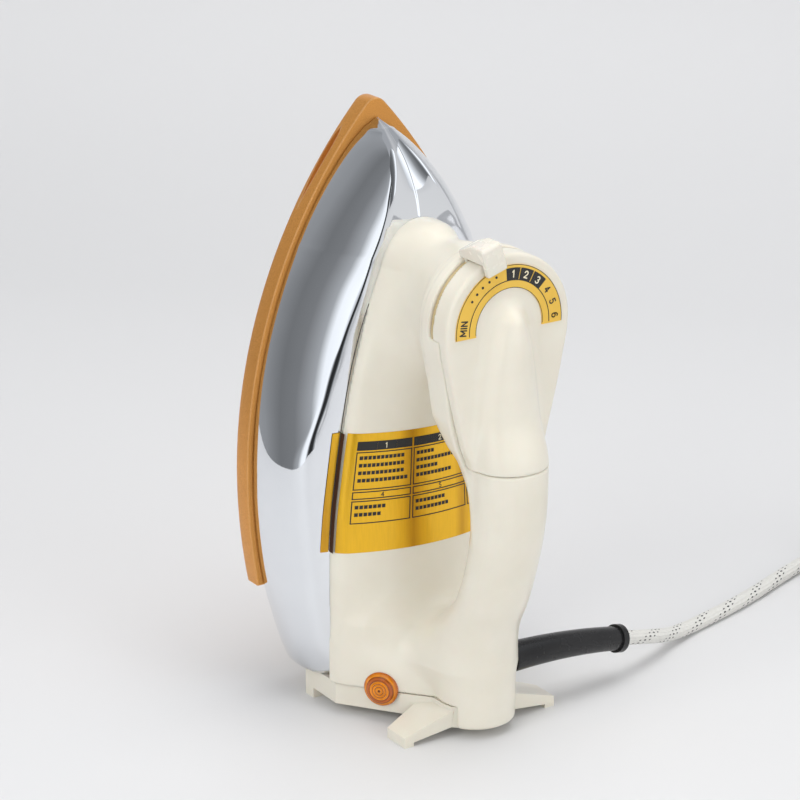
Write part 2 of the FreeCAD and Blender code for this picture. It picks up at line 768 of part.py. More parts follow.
# ---------------------------------------------------------------- handle cap and dial
CAP_STATIONS = [
    (119.0, 105.4, 13.4, 15.2),
    (140.0, 101.0, 12.0, 13.0),
    (165.0, 99.5, 12.2, 9.5),
    (179.0, 99.5, 10.6, 6.0),
]


def make_cap():
    joint, face, radius = number("cap_skirt"), number("cap_face"), number("head_radius")
    plate = head_block(joint, face, radius, number("cap_seam"))
    upper_low = number("slot_low") + number("slot_wide")
    upper = head_block(upper_low, joint, radius, number("cap_seam"))
    upper = upper.common(box((0, -40, HEAD_Z - 3.0), (200, 40, HEAD_Z + 40)))
    ridge = loft([oval((x, 0, h), a, b, None) for h, x, a, b in CAP_STATIONS])
    ridge = ridge.common(box((joint, -40, number("cap_seam")), (130, 40, HEAD_Z + 40)))
    bore = rod(
        number("spindle_radius") + number("spindle_play"), 4.0, (upper_low, 0, HEAD_Z)
    )
    solid_feature("handle_cap", fused([plate, upper.cut(bore), ridge]))


def make_dial():
    """The half-ring scale on the cap's face."""
    thick, outer, inner = number("dial_thick"), number("dial_radius"), number("dial_hole")
    face = number("cap_face")
    ring = rod(outer, thick, (face, 0, HEAD_Z)).cut(rod(inner, thick, (face, 0, HEAD_Z)))
    half = box(
        (face, -40, HEAD_Z - number("dial_drop")), (face + thick, 40, HEAD_Z + 40)
    )
    solid_feature("dial_plate", ring.common(half))


# ---------------------------------------------------------------- heel
def heel_outline(height):
    wide = number("heel_half_width")
    side = [
        (number("heel_front"), wide), (43.5, wide), (68.0, 23.8),
        (76.0, 16.6), (84.0, 16.2), (88.0, 15.2), (90.0, 13.0),
    ]
    points = side + [(x, -y) for x, y in reversed(side)]
    return [(x, y, height) for x, y in points]


def make_heel_cover():
    low, high, wall = number("heel_low"), number("heel_high"), number("heel_wall")
    block = prism(heel_outline(low), (0, 0, high - low))
    inner = polygon_wire(heel_outline(low + wall)).makeOffset2D(-wall)
    block = block.cut(Part.Face(inner).extrude(Vector(0, 0, high)))
    tip, end = number("wing_reach"), number("wing_end")
    extras = []
    for side in (1, -1):
        root = [(69.0, 12.0), (89.0, 12.0), (88.0, low), (69.0, low)]
        outer = [(74.0, 4.4), (end, 4.4), (end, 1.2), (74.0, 1.2)]
        wing = loft(
            [
                polygon_wire([(x, side * 15.0, h) for x, h in root]),
                polygon_wire([(x, side * tip, h) for x, h in outer]),
            ],
            True,
        )
        pads = sorted((side * (tip - 4.5), side * tip))
        extras.append(wing)
        extras.append(box((74.0, pads[0], 0.0), (end, pads[1], 2.6)))
        front = number("heel_front")
        feet = sorted((side * (number("heel_half_width") - 5.0), side * number("heel_half_width")))
        extras.append(box((front, feet[0], 0.0), (front + 6.0, feet[1], low)))
    cover = fused([block] + extras)
    keep_out = Part.Face(inner).extrude(Vector(0, 0, high))
    cover = cover.cut([keep_out, lamp_hole(), heel_foot_space()] + screw_holes())
    solid_feature("heel_cover", cover)


def heel_foot_space():
    """Room for the handle's foot in front of the heel cover."""
    return rod(number("foot_radius"), 20.0, (number("foot_across"), 0, 0), (0, 0, 1)).common(
        box((90.0, -30, 0), (110, 30, 20))
    )


def make_heel_bracket():
    """A folded strip that ties the chrome cover and the heel cover together."""
    thick = number("bracket_thick")
    low = number("cover_heel") + 0.6
    floor = box((THICK, -38.0, low), (40.0, 38.0, low + thick))
    upright = box((THICK, -24.0, low), (THICK + thick, 24.0, 58.0))
    ears = [box((40.0 - thick, y - 5, low), (40.0, y + 5, low + 9.0)) for y in (-28, 28)]
    holes = [rod(2.0, 10.0, (THICK - 2, y, 52.0)) for y in (-16, 16)]
    solid_feature("heel_bracket", fused([floor, upright] + ears).cut(holes + screw_holes()))


# across, aside and end height of the screws under the heel
HEEL_SCREWS = [(30.0, -28.0, 18.0), (30.0, 28.0, 18.0), (82.0, -12.4, 18.0), (82.0, 12.4, 18.0)]


def heel_screws(play):
    """Screws from below, and with some play the holes that take them."""
    low, head, shank, thick = number("heel_low"), 3.2, 1.6, 1.4
    screws = []
    for x, y, top in HEEL_SCREWS:
        cap = Part.makeCylinder(head + play, thick, Vector(x, y, low))
        stem = Part.makeCylinder(shank + play, top + play - low, Vector(x, y, low))
        screws.append(fused([cap, stem]))
    return screws


def screw_holes():
    return heel_screws(0.12)


def make_heel_screws():
    solid_feature("heel_screws", Part.makeCompound(heel_screws(0.0)))


# ---------------------------------------------------------------- wiring
def make_terminal_block():
    body = new_body("terminal_block")
    outline = new_sketch(body, "block_outline", "YZ_Plane", z.cover_top)
    low = z.sole_heel + 0.6
    half = z.block_long / 2
    draw_polygon(outline, rectangle(-half, half, low, low + z.block_wide))
    pad(body, "block_pad", outline, z.block_high)
    holes = new_sketch(body, "block_holes", "YZ_Plane", z.cover_top + z.block_high)
    for n in (-1, 0, 1):
        draw_circle(holes, z.block_long * (n / 3), low + z.block_wide / 2, z.terminal_radius)
    pocket(body, "block_screw_holes", holes, z.block_high / 2)


def make_cord_clamp():
    x, height, radius = number("exit_across"), number("exit_height"), number("cord_radius")
    clamp = box((x - 6.0, 4.5, height - 6.0), (88.0, 9.5, height + 6.0))
    clamp = clamp.cut(rod(radius, 20.0, (x, 0, height), (0, 1, 0)))
    solid_feature("cord_clamp", clamp)


def wire_run(points, radius):
    """A stiff insulated lead: straight runs with balls at the corners."""
    shapes = []
    for a, b in zip(points, points[1:]):
        start, way = Vector(*a), Vector(*b) - Vector(*a)
        shapes.append(Part.makeCylinder(radius, way.Length, start, way))
    shapes += [Part.makeSphere(radius, Vector(*p)) for p in points[1:-1]]
    return fused(shapes)


def make_leads():
    radius = 1.2
    x, height = number("exit_across"), number("exit_height")
    block = HEEL + 0.6
    apart = number("block_long") / 3
    inner = number("cover_top") + number("block_high") / 2
    low = number("element_start") - number("terminal_long")
    leads = []
    for n, side in ((-1, -1), (1, 1)):
        away = ELEMENT_END - 1.0
        leads.append(
            wire_run(
                [
                    (inner, n * apart, block), (inner, n * apart, 34.0),
                    (ELEMENT_X + 8, side * away * 0.5, 30.0),
                    (ELEMENT_X + 3, side * away, low - 6.0), (ELEMENT_X, side * away, low - 1.0),
                ],
                radius,
            )
        )
    leads.append(
        wire_run(
            [
                (x, 5.9, height), (x, 1.0, height), (x - 10, 0, height + 4),
                (60.0, 0, 32.0), (inner, 0, 36.0), (inner, 0, block),
            ],
            radius * 1.6,
        )
    )
    solid_feature("internal_leads", Part.makeCompound(leads))


# ---------------------------------------------------------------- cord
# the cord's route from the clamp to the coil, on the floor from the eighth point on
CORD_ROUTE = [
    (83.0, 6.0, 25.5), (83.0, 26.0, 25.4), (82.6, 45.0, 24.0), (81.6, 62.5, 21.4),
    (79.4, 79.5, 17.4), (74.6, 96.0, 12.2), (67.0, 111.5, 6.2), (60.4, 127.5, 3.1),
    (56.2, 144.0, 3.1), (51.6, 161.0, 3.1), (46.0, 178.0, 3.1), (39.4, 195.0, 3.1),
    (33.0, 213.0, 3.1), (27.4, 231.0, 3.1), (21.0, 249.0, 3.1),
]
CORD_RADIUS = number("cord_radius")
COIL_RADIUS, COIL_HALF = number("coil_radius"), number("coil_half")
CORD_TURN = 2 * CORD_RADIUS + 0.1


def rounded_path(points, name):
    """Straight runs joined by tangent arcs as large as the runs allow."""
    points = [Vector(*p) for p in points]
    edges, here, length = [], points[0], 0.0
    for a, b, c in zip(points, points[1:], points[2:]):
        back, on = (a - b).normalize(), (c - b).normalize()
        half = back.getAngle(on) / 2
        reach = 0.45 * min((a - b).Length, (c - b).Length)
        radius = reach * math.tan(half)
        start, end = b + back * reach, b + on * reach
        aside = (back + on).normalize()
        middle = b + aside * (radius / math.sin(half) - radius)
        edges += [Part.makeLine(here, start), Part.Arc(start, middle, end).toShape()]
        here = end
        print(f"{name}: radius {radius:.1f} at ({b.x:.0f}, {b.y:.0f}, {b.z:.0f})")
    edges.append(Part.makeLine(here, points[-1]))
    return Part.Wire(edges)


def tube(path, radius, name):
    start = path.Edges[0]
    point = start.valueAt(start.FirstParameter)
    tangent = start.tangentAt(start.FirstParameter)
    section = Part.Wire(Part.makeCircle(radius, point, tangent))
    solid = path.makePipeShell([section], True, False)
    expected = math.pi * radius**2 * path.Length
    print(f"{name}: length {path.Length:.0f}, volume {solid.Volume / expected:.4f} of expected")
    return solid


def coil_ring():
    """Outer shape of the put-away turns, on the floor."""
    entry, before = Vector(*CORD_ROUTE[-1]), Vector(*CORD_ROUTE[-2])
    way = (entry - before).normalize()
    centre = entry + Vector(way.y, -way.x, 0) * (COIL_RADIUS + CORD_TURN)
    centre.z = 0.0
    height = 3 * CORD_TURN
    ring = Part.makeCylinder(COIL_RADIUS + COIL_HALF, height, centre).cut(
        Part.makeCylinder(COIL_RADIUS - COIL_HALF, height, centre)
    )
    ring = ring.makeFillet(2.5, [e for e in ring.Edges if len(e.Vertexes) == 1])
    return ring, centre, way


def make_cord():
    ring, centre, way = coil_ring()
    path = rounded_path(CORD_ROUTE, "cord")
    cord = tube(path, CORD_RADIUS, "cord").cut(ring)
    cord = max(cord.Solids, key=lambda solid: solid.Volume)
    solid_feature("cord", cord)
    solid_feature("cord_coil", ring)
    make_protector(path)

    # the tail leaves the far side of the coil and runs back beside it to the plug
    aside = Vector(way.y, -way.x, 0)
    plug_height = 9.1
    leave = centre + aside * COIL_RADIUS + Vector(0, 0, plug_height)
    ahead = way * -1
    tail_end = leave + ahead * 40.0
    tail = Part.makeCylinder(CORD_RADIUS, 40.0, leave, ahead).cut(ring)
    solid_feature("cord_tail", max(tail.Solids, key=lambda solid: solid.Volume))
    make_plug(tail_end, ahead, aside)


def make_protector(path):
    """Tapered rubber sleeve round the cord where it leaves the handle, with a lip."""
    stations = [
        (17.0, number("protector_radius")), (45.0, 5.6), (72.0, number("protector_tip")),
    ]
    wires = []
    for y, radius in stations:
        wires.append(Part.Wire(Part.makeCircle(radius, route_at(y), route_way(y))))
    sleeve = loft(wires)
    lip = Part.makeCylinder(number("protector_lip"), 3.0, route_at(72.0), route_way(72.0))
    cord = tube(path, CORD_RADIUS, "protector bore")
    exit_point = (number("exit_across"), 5.5, number("exit_height"))
    root = rod(number("cord_radius") + 1.2, 12.0, exit_point, (0, 1, 0))
    sleeve = fused([sleeve, lip, root.common(box((0, 9.5, 0), (200, 18.0, 100)))])
    solid_feature("cord_protector", sleeve.cut(cord))


def route_at(y):
    """Point of the route, on straight lines between its points, where it crosses y."""
    for a, b in zip(CORD_ROUTE, CORD_ROUTE[1:]):
        if a[1] <= y <= b[1]:
            return Vector(*a) + (Vector(*b) - Vector(*a)) * ((y - a[1]) / (b[1] - a[1]))
    return Vector(*CORD_ROUTE[-1])


def route_way(y):
    return (route_at(y + 2.0) - route_at(y - 2.0)).normalize()


def make_plug(start, way, aside):
    """A two-pin plug that lies beside the coil."""
    length = number("plug_long")
    up = Vector(0, 0, 1)
    sections = [(0.0, 4.6, 4.6), (0.3, 6.5, 5.6), (0.6, 11.0, 8.0), (1.0, 13.5, 8.7)]
    wires = []
    for share, half, rise in sections:
        wire = oval((0, 0, 0), None, half, rise)
        turn = Rotation(way, aside * -1, up, "XYZ")
        wire.Placement = Placement(start + way * (share * length), turn)
        wires.append(wire)
    solid_feature("plug_body", loft(wires))
    face = start + way * length
    pins = []
    for side in (-0.5, 0.5):
        base = face + aside * (side * number("pin_apart"))
        pin = Part.makeCylinder(number("pin_radius"), number("pin_long"), base, way)
        pins.append(pin.makeChamfer(0.8, [pin.Edges[0]]))
    solid_feature("plug_pins", Part.makeCompound(pins))


# ---------------------------------------------------------------- build
def build():
    make_soleplate()
    make_element()
    make_pressure_plate()
    make_studs()
    make_handle_bolt()
    make_thermostat()
    make_spindle()
    make_disc()
    make_lever()
    make_cover()
    make_body_and_label()
    make_lamp()
    make_cap()
    make_dial()
    make_heel_cover()
    make_heel_bracket()
    make_heel_screws()
    make_terminal_block()
    make_cord_clamp()
    make_leads()
    make_cord()


def check_and_write():
    """Refuses a failed feature or a broken solid before anything is written."""
    doc.recompute()
    for obj in doc.Objects:
        if "Invalid" in obj.State or "Error" in obj.State:
            raise RuntimeError(f"{obj.Label} failed: {obj.State}")
    for obj in kept:
        if obj.Shape.isNull() or not obj.Shape.isValid() or obj.Shape.Volume <= 0:
            raise RuntimeError(f"{obj.Label} has no valid solid")
    os.makedirs("parts", exist_ok=True)
    for obj in kept:
        obj.Shape.exportStep(f"parts/{obj.Label}.step")
        bounds = obj.Shape.BoundBox
        print(
            f"{obj.Label}: {len(obj.Shape.Solids)} solid(s), {obj.Shape.Volume / 1000:.1f} cm3, "
            f"x {bounds.XMin:.1f}..{bounds.XMax:.1f} y {bounds.YMin:.1f}..{bounds.YMax:.1f} "
            f"z {bounds.ZMin:.1f}..{bounds.ZMax:.1f}"
        )


build()
check_and_write()
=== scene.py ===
"""The iron's looks: moulded shells, chrome, print, lamp and cord round the CAD frame.

Shapes are worked out in millimetres with X from the ironing face, and put in place from
the soleplate's own box. +Z is heel to nose, +X is towards the handle.
"""

import math

import bmesh
import bpy
import numpy as np
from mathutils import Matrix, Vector


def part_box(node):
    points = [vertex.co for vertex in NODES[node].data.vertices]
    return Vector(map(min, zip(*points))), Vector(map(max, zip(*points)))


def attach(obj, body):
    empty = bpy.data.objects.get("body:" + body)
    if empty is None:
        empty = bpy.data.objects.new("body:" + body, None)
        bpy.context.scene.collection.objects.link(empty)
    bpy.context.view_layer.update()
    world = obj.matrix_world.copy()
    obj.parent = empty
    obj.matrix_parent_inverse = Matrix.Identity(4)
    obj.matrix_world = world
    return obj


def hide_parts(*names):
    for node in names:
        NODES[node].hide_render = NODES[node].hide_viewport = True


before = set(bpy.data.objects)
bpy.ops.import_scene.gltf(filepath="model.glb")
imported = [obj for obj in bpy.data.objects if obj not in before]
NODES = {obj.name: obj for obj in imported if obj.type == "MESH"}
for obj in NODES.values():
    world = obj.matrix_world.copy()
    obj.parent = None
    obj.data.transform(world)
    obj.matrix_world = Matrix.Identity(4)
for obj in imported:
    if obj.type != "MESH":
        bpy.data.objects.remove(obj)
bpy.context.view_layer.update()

MM = 0.001
FACE_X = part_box("soleplate")[0][0]


def low_high(node, axis):
    """A node's lowest and highest place along an axis, in millimetres from the ironing face."""
    start = FACE_X if axis == 0 else 0.0
    return [(corner[axis] - start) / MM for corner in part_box(node)]


HEAD_Z = sum(low_high("lever_disc", 2)) / 2


def metres(points):
    """Points in millimetres from the ironing face, as metres in the frame."""
    points = np.asarray(points, float) * MM
    points[..., 0] += FACE_X
    return points


# ---------------------------------------------------------------- materials
def new_material(name):
    material = bpy.data.materials.new(name)
    material.use_nodes = True
    tree = material.node_tree
    return material, tree, tree.nodes["Principled BSDF"]


def add(tree, kind, **values):
    node = tree.nodes.new(kind)
    for key, value in values.items():
        setattr(node, key, value)
    return node


def noise(tree, scale, detail=3.0, rough=0.5, stretch=(1, 1, 1)):
    """Noise over the object's own coordinates, scale in features per metre."""
    place = add(tree, "ShaderNodeTexCoord")
    mapping = add(tree, "ShaderNodeMapping")
    mapping.inputs["Scale"].default_value = stretch
    tree.links.new(place.outputs["Object"], mapping.inputs["Vector"])
    node = add(tree, "ShaderNodeTexNoise")
    node.inputs["Scale"].default_value = scale
    node.inputs["Detail"].default_value = detail
    node.inputs["Roughness"].default_value = rough
    tree.links.new(mapping.outputs["Vector"], node.inputs["Vector"])
    return node.outputs["Fac"]


def ramp(tree, value, stops):
    node = add(tree, "ShaderNodeValToRGB")
    elements = node.color_ramp.elements
    while len(elements) < len(stops):
        elements.new(0.5)
    for element, (place, colour) in zip(elements, stops):
        element.position = place
        element.color = (*colour, 1.0)
    tree.links.new(value, node.inputs["Fac"])
    return node.outputs["Color"]


def maths(tree, operation, *values):
    """A Math node over numbers and other nodes' values."""
    node = add(tree, "ShaderNodeMath", operation=operation)
    for socket, value in zip(node.inputs, values):
        if isinstance(value, (int, float)):
            socket.default_value = value
        else:
            tree.links.new(value, socket)
    return node.outputs["Value"]


def between(tree, value, low, high):
    """The value laid out from 0 at low to 1 at high."""
    node = add(tree, "ShaderNodeMapRange")
    node.inputs["From Min"].default_value = low
    node.inputs["From Max"].default_value = high
    tree.links.new(value, node.inputs["Value"])
    return node.outputs["Result"]


def parts_of(tree, vector):
    node = add(tree, "ShaderNodeSeparateXYZ")
    tree.links.new(vector, node.inputs["Vector"])
    return node.outputs


def times(tree, first, second, factor=1.0):
    """Two colours multiplied."""
    node = add(tree, "ShaderNodeMix", data_type="RGBA", blend_type="MULTIPLY")
    node.inputs["Factor"].default_value = factor
    tree.links.new(first, node.inputs["A"])
    tree.links.new(second, node.inputs["B"])
    return node.outputs["Result"]


def spread(tree, value, low, high):
    """The value's 0 to 1 range laid out between low and high."""
    node = add(tree, "ShaderNodeMapRange")
    node.inputs["To Min"].default_value = low
    node.inputs["To Max"].default_value = high
    tree.links.new(value, node.inputs["Value"])
    return node.outputs["Result"]


def bump(tree, shader, value, strength, distance):
    node = add(tree, "ShaderNodeBump")
    node.inputs["Strength"].default_value = strength
    node.inputs["Distance"].default_value = distance
    tree.links.new(value, node.inputs["Height"])
    tree.links.new(node.outputs["Normal"], shader.inputs["Normal"])


def surface(name, dark, light, rough, metallic=0.0, scale=60.0, grain=None, **extra):
    """A finish whose colour and roughness wander a little, with a fine grain."""
    material, tree, shader = new_material(name)
    wander = noise(tree, scale)
    tree.links.new(ramp(tree, wander, [(0.3, dark), (0.7, light)]), shader.inputs["Base Color"])
    tree.links.new(
        spread(tree, noise(tree, scale * 4), rough[0], rough[1]), shader.inputs["Roughness"]
    )
    shader.inputs["Metallic"].default_value = metallic
    if grain:
        bump(tree, shader, noise(tree, grain[0], 2.0), grain[1], grain[2])
    for key, value in extra.items():
        shader.inputs[key.replace("_", " ")].default_value = value
    return material


cream = surface(
    "cream_plastic", (0.80, 0.755, 0.64), (0.83, 0.79, 0.68), (0.26, 0.34),
    grain=(900.0, 0.05, 0.0002), Coat_Weight=0.25, Coat_Roughness=0.12,
    Subsurface_Weight=0.06, Subsurface_Scale=0.004,
)
lever_cream = surface(
    "lever_plastic", (0.80, 0.76, 0.66), (0.83, 0.80, 0.70), (0.24, 0.3),
    grain=(1200.0, 0.04, 0.0002), Coat_Weight=0.3, Coat_Roughness=0.1,
    Subsurface_Weight=0.1, Subsurface_Scale=0.004,
)
beige = surface("beige_plastic", (0.52, 0.40, 0.20), (0.58, 0.46, 0.25), (0.4, 0.5))
chrome = surface(
    "chrome_plate", (0.80, 0.82, 0.85), (0.84, 0.86, 0.89), (0.035, 0.06), metallic=1.0, scale=30.0
)
zinc = surface("zinc_plate", (0.55, 0.56, 0.58), (0.66, 0.67, 0.69), (0.28, 0.42), metallic=1.0)
yellow_zinc = surface(
    "yellow_zinc", (0.45, 0.34, 0.07), (0.62, 0.50, 0.16), (0.25, 0.4), metallic=1.0, scale=120.0
)
iron_cast = surface(
    "cast_iron", (0.10, 0.10, 0.10), (0.17, 0.165, 0.16), (0.6, 0.8), metallic=0.6,
    grain=(700.0, 0.5, 0.0006),
)
steel_sheath = surface("steel_sheath", (0.25, 0.24, 0.23), (0.36, 0.34, 0.32), (0.35, 0.5), 1.0)
ceramic = surface("ceramic", (0.80, 0.78, 0.72), (0.86, 0.84, 0.79), (0.25, 0.4))
sleeve = surface(
    "lead_sleeve", (0.66, 0.66, 0.60), (0.80, 0.79, 0.73), (0.7, 0.9), scale=400.0,
    grain=(1500.0, 0.6, 0.0003),
)
rubber = surface(
    "black_rubber", (0.011, 0.011, 0.012), (0.018, 0.018, 0.019), (0.2, 0.32),
    grain=(800.0, 0.12, 0.0003), Specular_IOR_Level=0.35,
)
nickel = surface("nickel_brass", (0.66, 0.61, 0.50), (0.76, 0.72, 0.62), (0.18, 0.28), 1.0)
ink_black = surface("black_print", (0.012, 0.012, 0.012), (0.02, 0.02, 0.02), (0.35, 0.45))
pale_print = surface("pale_print", (0.85, 0.78, 0.55), (0.9, 0.82, 0.6), (0.35, 0.45))
# painted shade: dark maroon standing for the shadowed gold beside the label's ends
painted_gap_shade = surface("gap_shadow", (0.045, 0.012, 0.003), (0.06, 0.02, 0.005), (0.7, 0.8))
# painted shade: the dark line in the gap between the chrome and the handle
painted_seam_shade = surface("seam_shadow", (0.05, 0.048, 0.04), (0.08, 0.075, 0.065), (0.6, 0.7))
dial_gold = surface(
    "dial_gold", (0.86, 0.53, 0.07), (0.90, 0.58, 0.09), (0.3, 0.38), metallic=0.35,
    Coat_Weight=0.2, Coat_Roughness=0.2,
)


def make_sole_coat():
    """Gold-orange non-stick coat: fine speckle, with a painted highlight along the edges."""
    material, tree, shader = new_material("sole_coat")
    speckle = ramp(
        tree, noise(tree, 2600.0, 2.0), [(0.32, (0.60, 0.255, 0.05)), (0.68, (0.78, 0.36, 0.085))]
    )
    # painted highlight: edges found from the bevel normal are mixed towards pale gold, standing for
    # light caught along them
    edge = add(tree, "ShaderNodeBevel", samples=4)
    edge.inputs["Radius"].default_value = 0.0006
    turned = add(tree, "ShaderNodeVectorMath", operation="DOT_PRODUCT")
    real = add(tree, "ShaderNodeNewGeometry")
    tree.links.new(edge.outputs["Normal"], turned.inputs[0])
    tree.links.new(real.outputs["Normal"], turned.inputs[1])
    painted_edge_highlight = maths(tree, "MULTIPLY", between(tree, turned.outputs["Value"], 0.995, 0.86), 0.75)
    mix = add(tree, "ShaderNodeMix", data_type="RGBA")
    mix.inputs["B"].default_value = (0.86, 0.62, 0.36, 1.0)
    tree.links.new(painted_edge_highlight, mix.inputs["Factor"])
    tree.links.new(speckle, mix.inputs["A"])
    tree.links.new(mix.outputs["Result"], shader.inputs["Base Color"])
    tree.links.new(spread(tree, noise(tree, 300.0), 0.30, 0.42), shader.inputs["Roughness"])
    shader.inputs["Metallic"].default_value = 0.55
    bump(tree, shader, noise(tree, 3200.0, 2.0), 0.15, 0.0002)
    return material


LABEL_REACH = 0.045


def make_label_gold():
    """Gold foil: finely brushed, with soft darker bands of painted reflection where the sheet turns."""
    material, tree, shader = new_material("label_gold")
    place = parts_of(tree, add(tree, "ShaderNodeTexCoord").outputs["Object"])
    across = between(tree, place["Y"], -LABEL_REACH, LABEL_REACH)
    full, deep = (0.93, 0.53, 0.022), (0.66, 0.33, 0.012)
    # painted reflection: darker bands across the sheet where the curved foil turns away and mirrors
    # darker surroundings
    painted_reflection_bands = ramp(
        tree, across,
        [(0.0, deep), (0.06, full), (0.32, full), (0.37, deep), (0.41, full), (0.59, full),
         (0.63, deep), (0.68, full), (0.94, full), (1.0, deep)],
    )
    grain = noise(tree, 120.0, 4.0, stretch=(1.0, 12.0, 1.0))
    brushed = ramp(tree, grain, [(0.3, (0.93, 0.92, 0.9)), (0.7, (1.0, 1.0, 1.0))])
    tree.links.new(times(tree, painted_reflection_bands, brushed), shader.inputs["Base Color"])
    tree.links.new(spread(tree, noise(tree, 200.0), 0.26, 0.34), shader.inputs["Roughness"])
    shader.inputs["Metallic"].default_value = 0.75
    shader.inputs["Coat Weight"].default_value = 0.3
    shader.inputs["Coat Roughness"].default_value = 0.08
    return material


def make_amber():
    """Amber plastic, with painted shade darkening the grooves between the lens's rings."""
    material, tree, shader = new_material("amber_lens")
    place = add(tree, "ShaderNodeTexCoord")
    reach = add(tree, "ShaderNodeVectorMath", operation="DISTANCE")
    reach.inputs[1].default_value = tuple(metres(LAMP_PLACE + LAMP_WAY * 2.6))
    tree.links.new(place.outputs["Object"], reach.inputs[0])
    # painted shade: dark brown is laid where the rings' grooves lie
    bright, deep, brown = (0.86, 0.30, 0.004), (0.50, 0.11, 0.002), (0.16, 0.02, 0.001)
    colour = ramp(
        tree, between(tree, reach.outputs["Value"], 0.0, LENS_RADIUS),
        [(0.0, brown), (0.07, brown), (0.12, bright), (0.2, bright), (0.235, brown), (0.28, bright),
         (0.36, bright), (0.395, brown), (0.43, bright), (0.53, bright), (0.57, brown),
         (0.62, deep), (0.72, deep), (0.76, brown), (0.82, bright), (1.0, deep)],
    )
    mottle = ramp(tree, noise(tree, 260.0), [(0.4, (0.45, 0.3, 0.25)), (0.56, (1, 1, 1))])
    tree.links.new(times(tree, colour, mottle, 0.3), shader.inputs["Base Color"])
    shader.inputs["Roughness"].default_value = 0.07
    # painted glow: a faint emission standing for light scattered inside the amber
    shader.inputs["Emission Color"].default_value = (1.0, 0.28, 0.0, 1.0)
    shader.inputs["Emission Strength"].default_value = 0.03
    shader.inputs["Coat Weight"].default_value = 0.5
    return material


def make_braid():
    """Cotton braid: pale crossed strands with short black flecks that wind round."""
    material, tree, shader = new_material("cord_braid")
    along, around = parts_of(tree, add(tree, "ShaderNodeUVMap").outputs["UV"])[:2]
    full = 2 * math.pi

    def wave(pitches, strands):
        lean = maths(tree, "MULTIPLY", along, full * pitches)
        return maths(tree, "SINE", maths(tree, "MULTIPLY_ADD", around, full * strands, lean))

    weave = maths(tree, "MULTIPLY", wave(BRAID_PITCHES, 6), wave(-BRAID_PITCHES, 6))
    # only the strands of a slower wave are black
    black = maths(
        tree, "MULTIPLY", between(tree, weave, 0.50, 0.62),
        between(tree, wave(BRAID_PITCHES / 3, 2), 0.35, 0.5),
    )
    tree.links.new(
        ramp(tree, black, [(0.3, (0.76, 0.75, 0.71)), (0.6, (0.02, 0.02, 0.022))]),
        shader.inputs["Base Color"],
    )
    shader.inputs["Roughness"].default_value = 0.85
    shader.inputs["Sheen Weight"].default_value = 0.3
    bump(tree, shader, weave, 0.6, 0.0004)
    return material


sole_coat = make_sole_coat()
label_gold = make_label_gold()
LAMP_PLACE = np.array([60.0, -30.4, 14.6])
LAMP_WAY = np.array([0.595, -0.80, 0.0]) / math.hypot(0.595, 0.80)
BRAID_PITCHES = 420
LENS_RADIUS = 0.0075
amber = make_amber()
braid = make_braid()

NODE_LOOKS = {
    "soleplate": sole_coat, "heating_element": steel_sheath, "element_terminals": nickel,
    "pressure_plate": iron_cast, "sole_studs": zinc, "stud_nuts": zinc, "handle_bolt": zinc,
    "thermostat_body": ceramic, "thermostat_spindle": zinc, "lever_disc": beige,
    "temperature_lever": lever_cream, "chrome_cover": chrome, "handle_body": cream,
    "label_plate": label_gold, "lamp_lens": amber, "lamp_bulb": ceramic, "lamp_holder": beige,
    "handle_cap": cream, "dial_plate": dial_gold, "heel_cover": cream,
    "heel_bracket": yellow_zinc, "heel_screws": zinc, "terminal_block": ceramic,
    "cord_clamp": beige, "internal_leads": sleeve, "cord_protector": rubber,
    "plug_body": rubber, "plug_pins": nickel, "cord": braid, "cord_coil": braid,
    "cord_tail": braid,
}
for node, material in NODE_LOOKS.items():
    mesh = NODES[node].data
    mesh.materials.clear()
    mesh.materials.append(material)


# ---------------------------------------------------------------- mesh helpers
def new_piece(name, points, faces, material, body="iron", smooth=True):
    """A mesh from points in millimetres that rides on a body."""
    mesh = bpy.data.meshes.new(name)
    mesh.from_pydata(metres(points).tolist(), [], [list(map(int, f)) for f in faces])
    mesh.validate()
    obj = bpy.data.objects.new(name, mesh)
    bpy.context.scene.collection.objects.link(obj)
    mesh.materials.append(material)
    if smooth:
        mesh.shade_smooth()
    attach(obj, body)
    return obj


def ladder(count):
    """Quads between pairs of points that follow each other."""
    return [(2 * n, 2 * n + 2, 2 * n + 3, 2 * n + 1) for n in range(count)]


def lathe_faces(rows, across):
    """Quads between closed rows of points."""
    return [
        (i * across + j, i * across + (j + 1) % across, (i + 1) * across + (j + 1) % across,
         (i + 1) * across + j)
        for i in range(rows - 1)
        for j in range(across)
    ]


def curve_through(table):
    """A smooth function through (place, value) pairs that never overshoots them."""
    x, y = np.array(table, float).T
    step, slope = np.diff(x), np.diff(y) / np.diff(x)
    tangent = np.concatenate([[slope[0]], np.zeros(len(x) - 2), [slope[-1]]])
    for n in range(1, len(x) - 1):
        if slope[n - 1] * slope[n] > 0:
            a, b = 2 * step[n] + step[n - 1], step[n] + 2 * step[n - 1]
            tangent[n] = (a + b) / (a / slope[n - 1] + b / slope[n])

    def value(at):
        at = np.clip(np.asarray(at, float), x[0], x[-1])
        n = np.clip(np.searchsorted(x, at) - 1, 0, len(x) - 2)
        t = (at - x[n]) / step[n]
        return (
            (1 + 2 * t) * (1 - t) ** 2 * y[n] + t * (1 - t) ** 2 * step[n] * tangent[n]
            + t * t * (3 - 2 * t) * y[n + 1] + t * t * (t - 1) * step[n] * tangent[n + 1]
        )

    return value


def smooth_min(a, b, k):
    h = np.maximum(k - np.abs(a - b), 0.0) / k
    return np.minimum(a, b) - h * h * k / 4


def smooth_max(a, b, k):
    return -smooth_min(-a, -b, k)


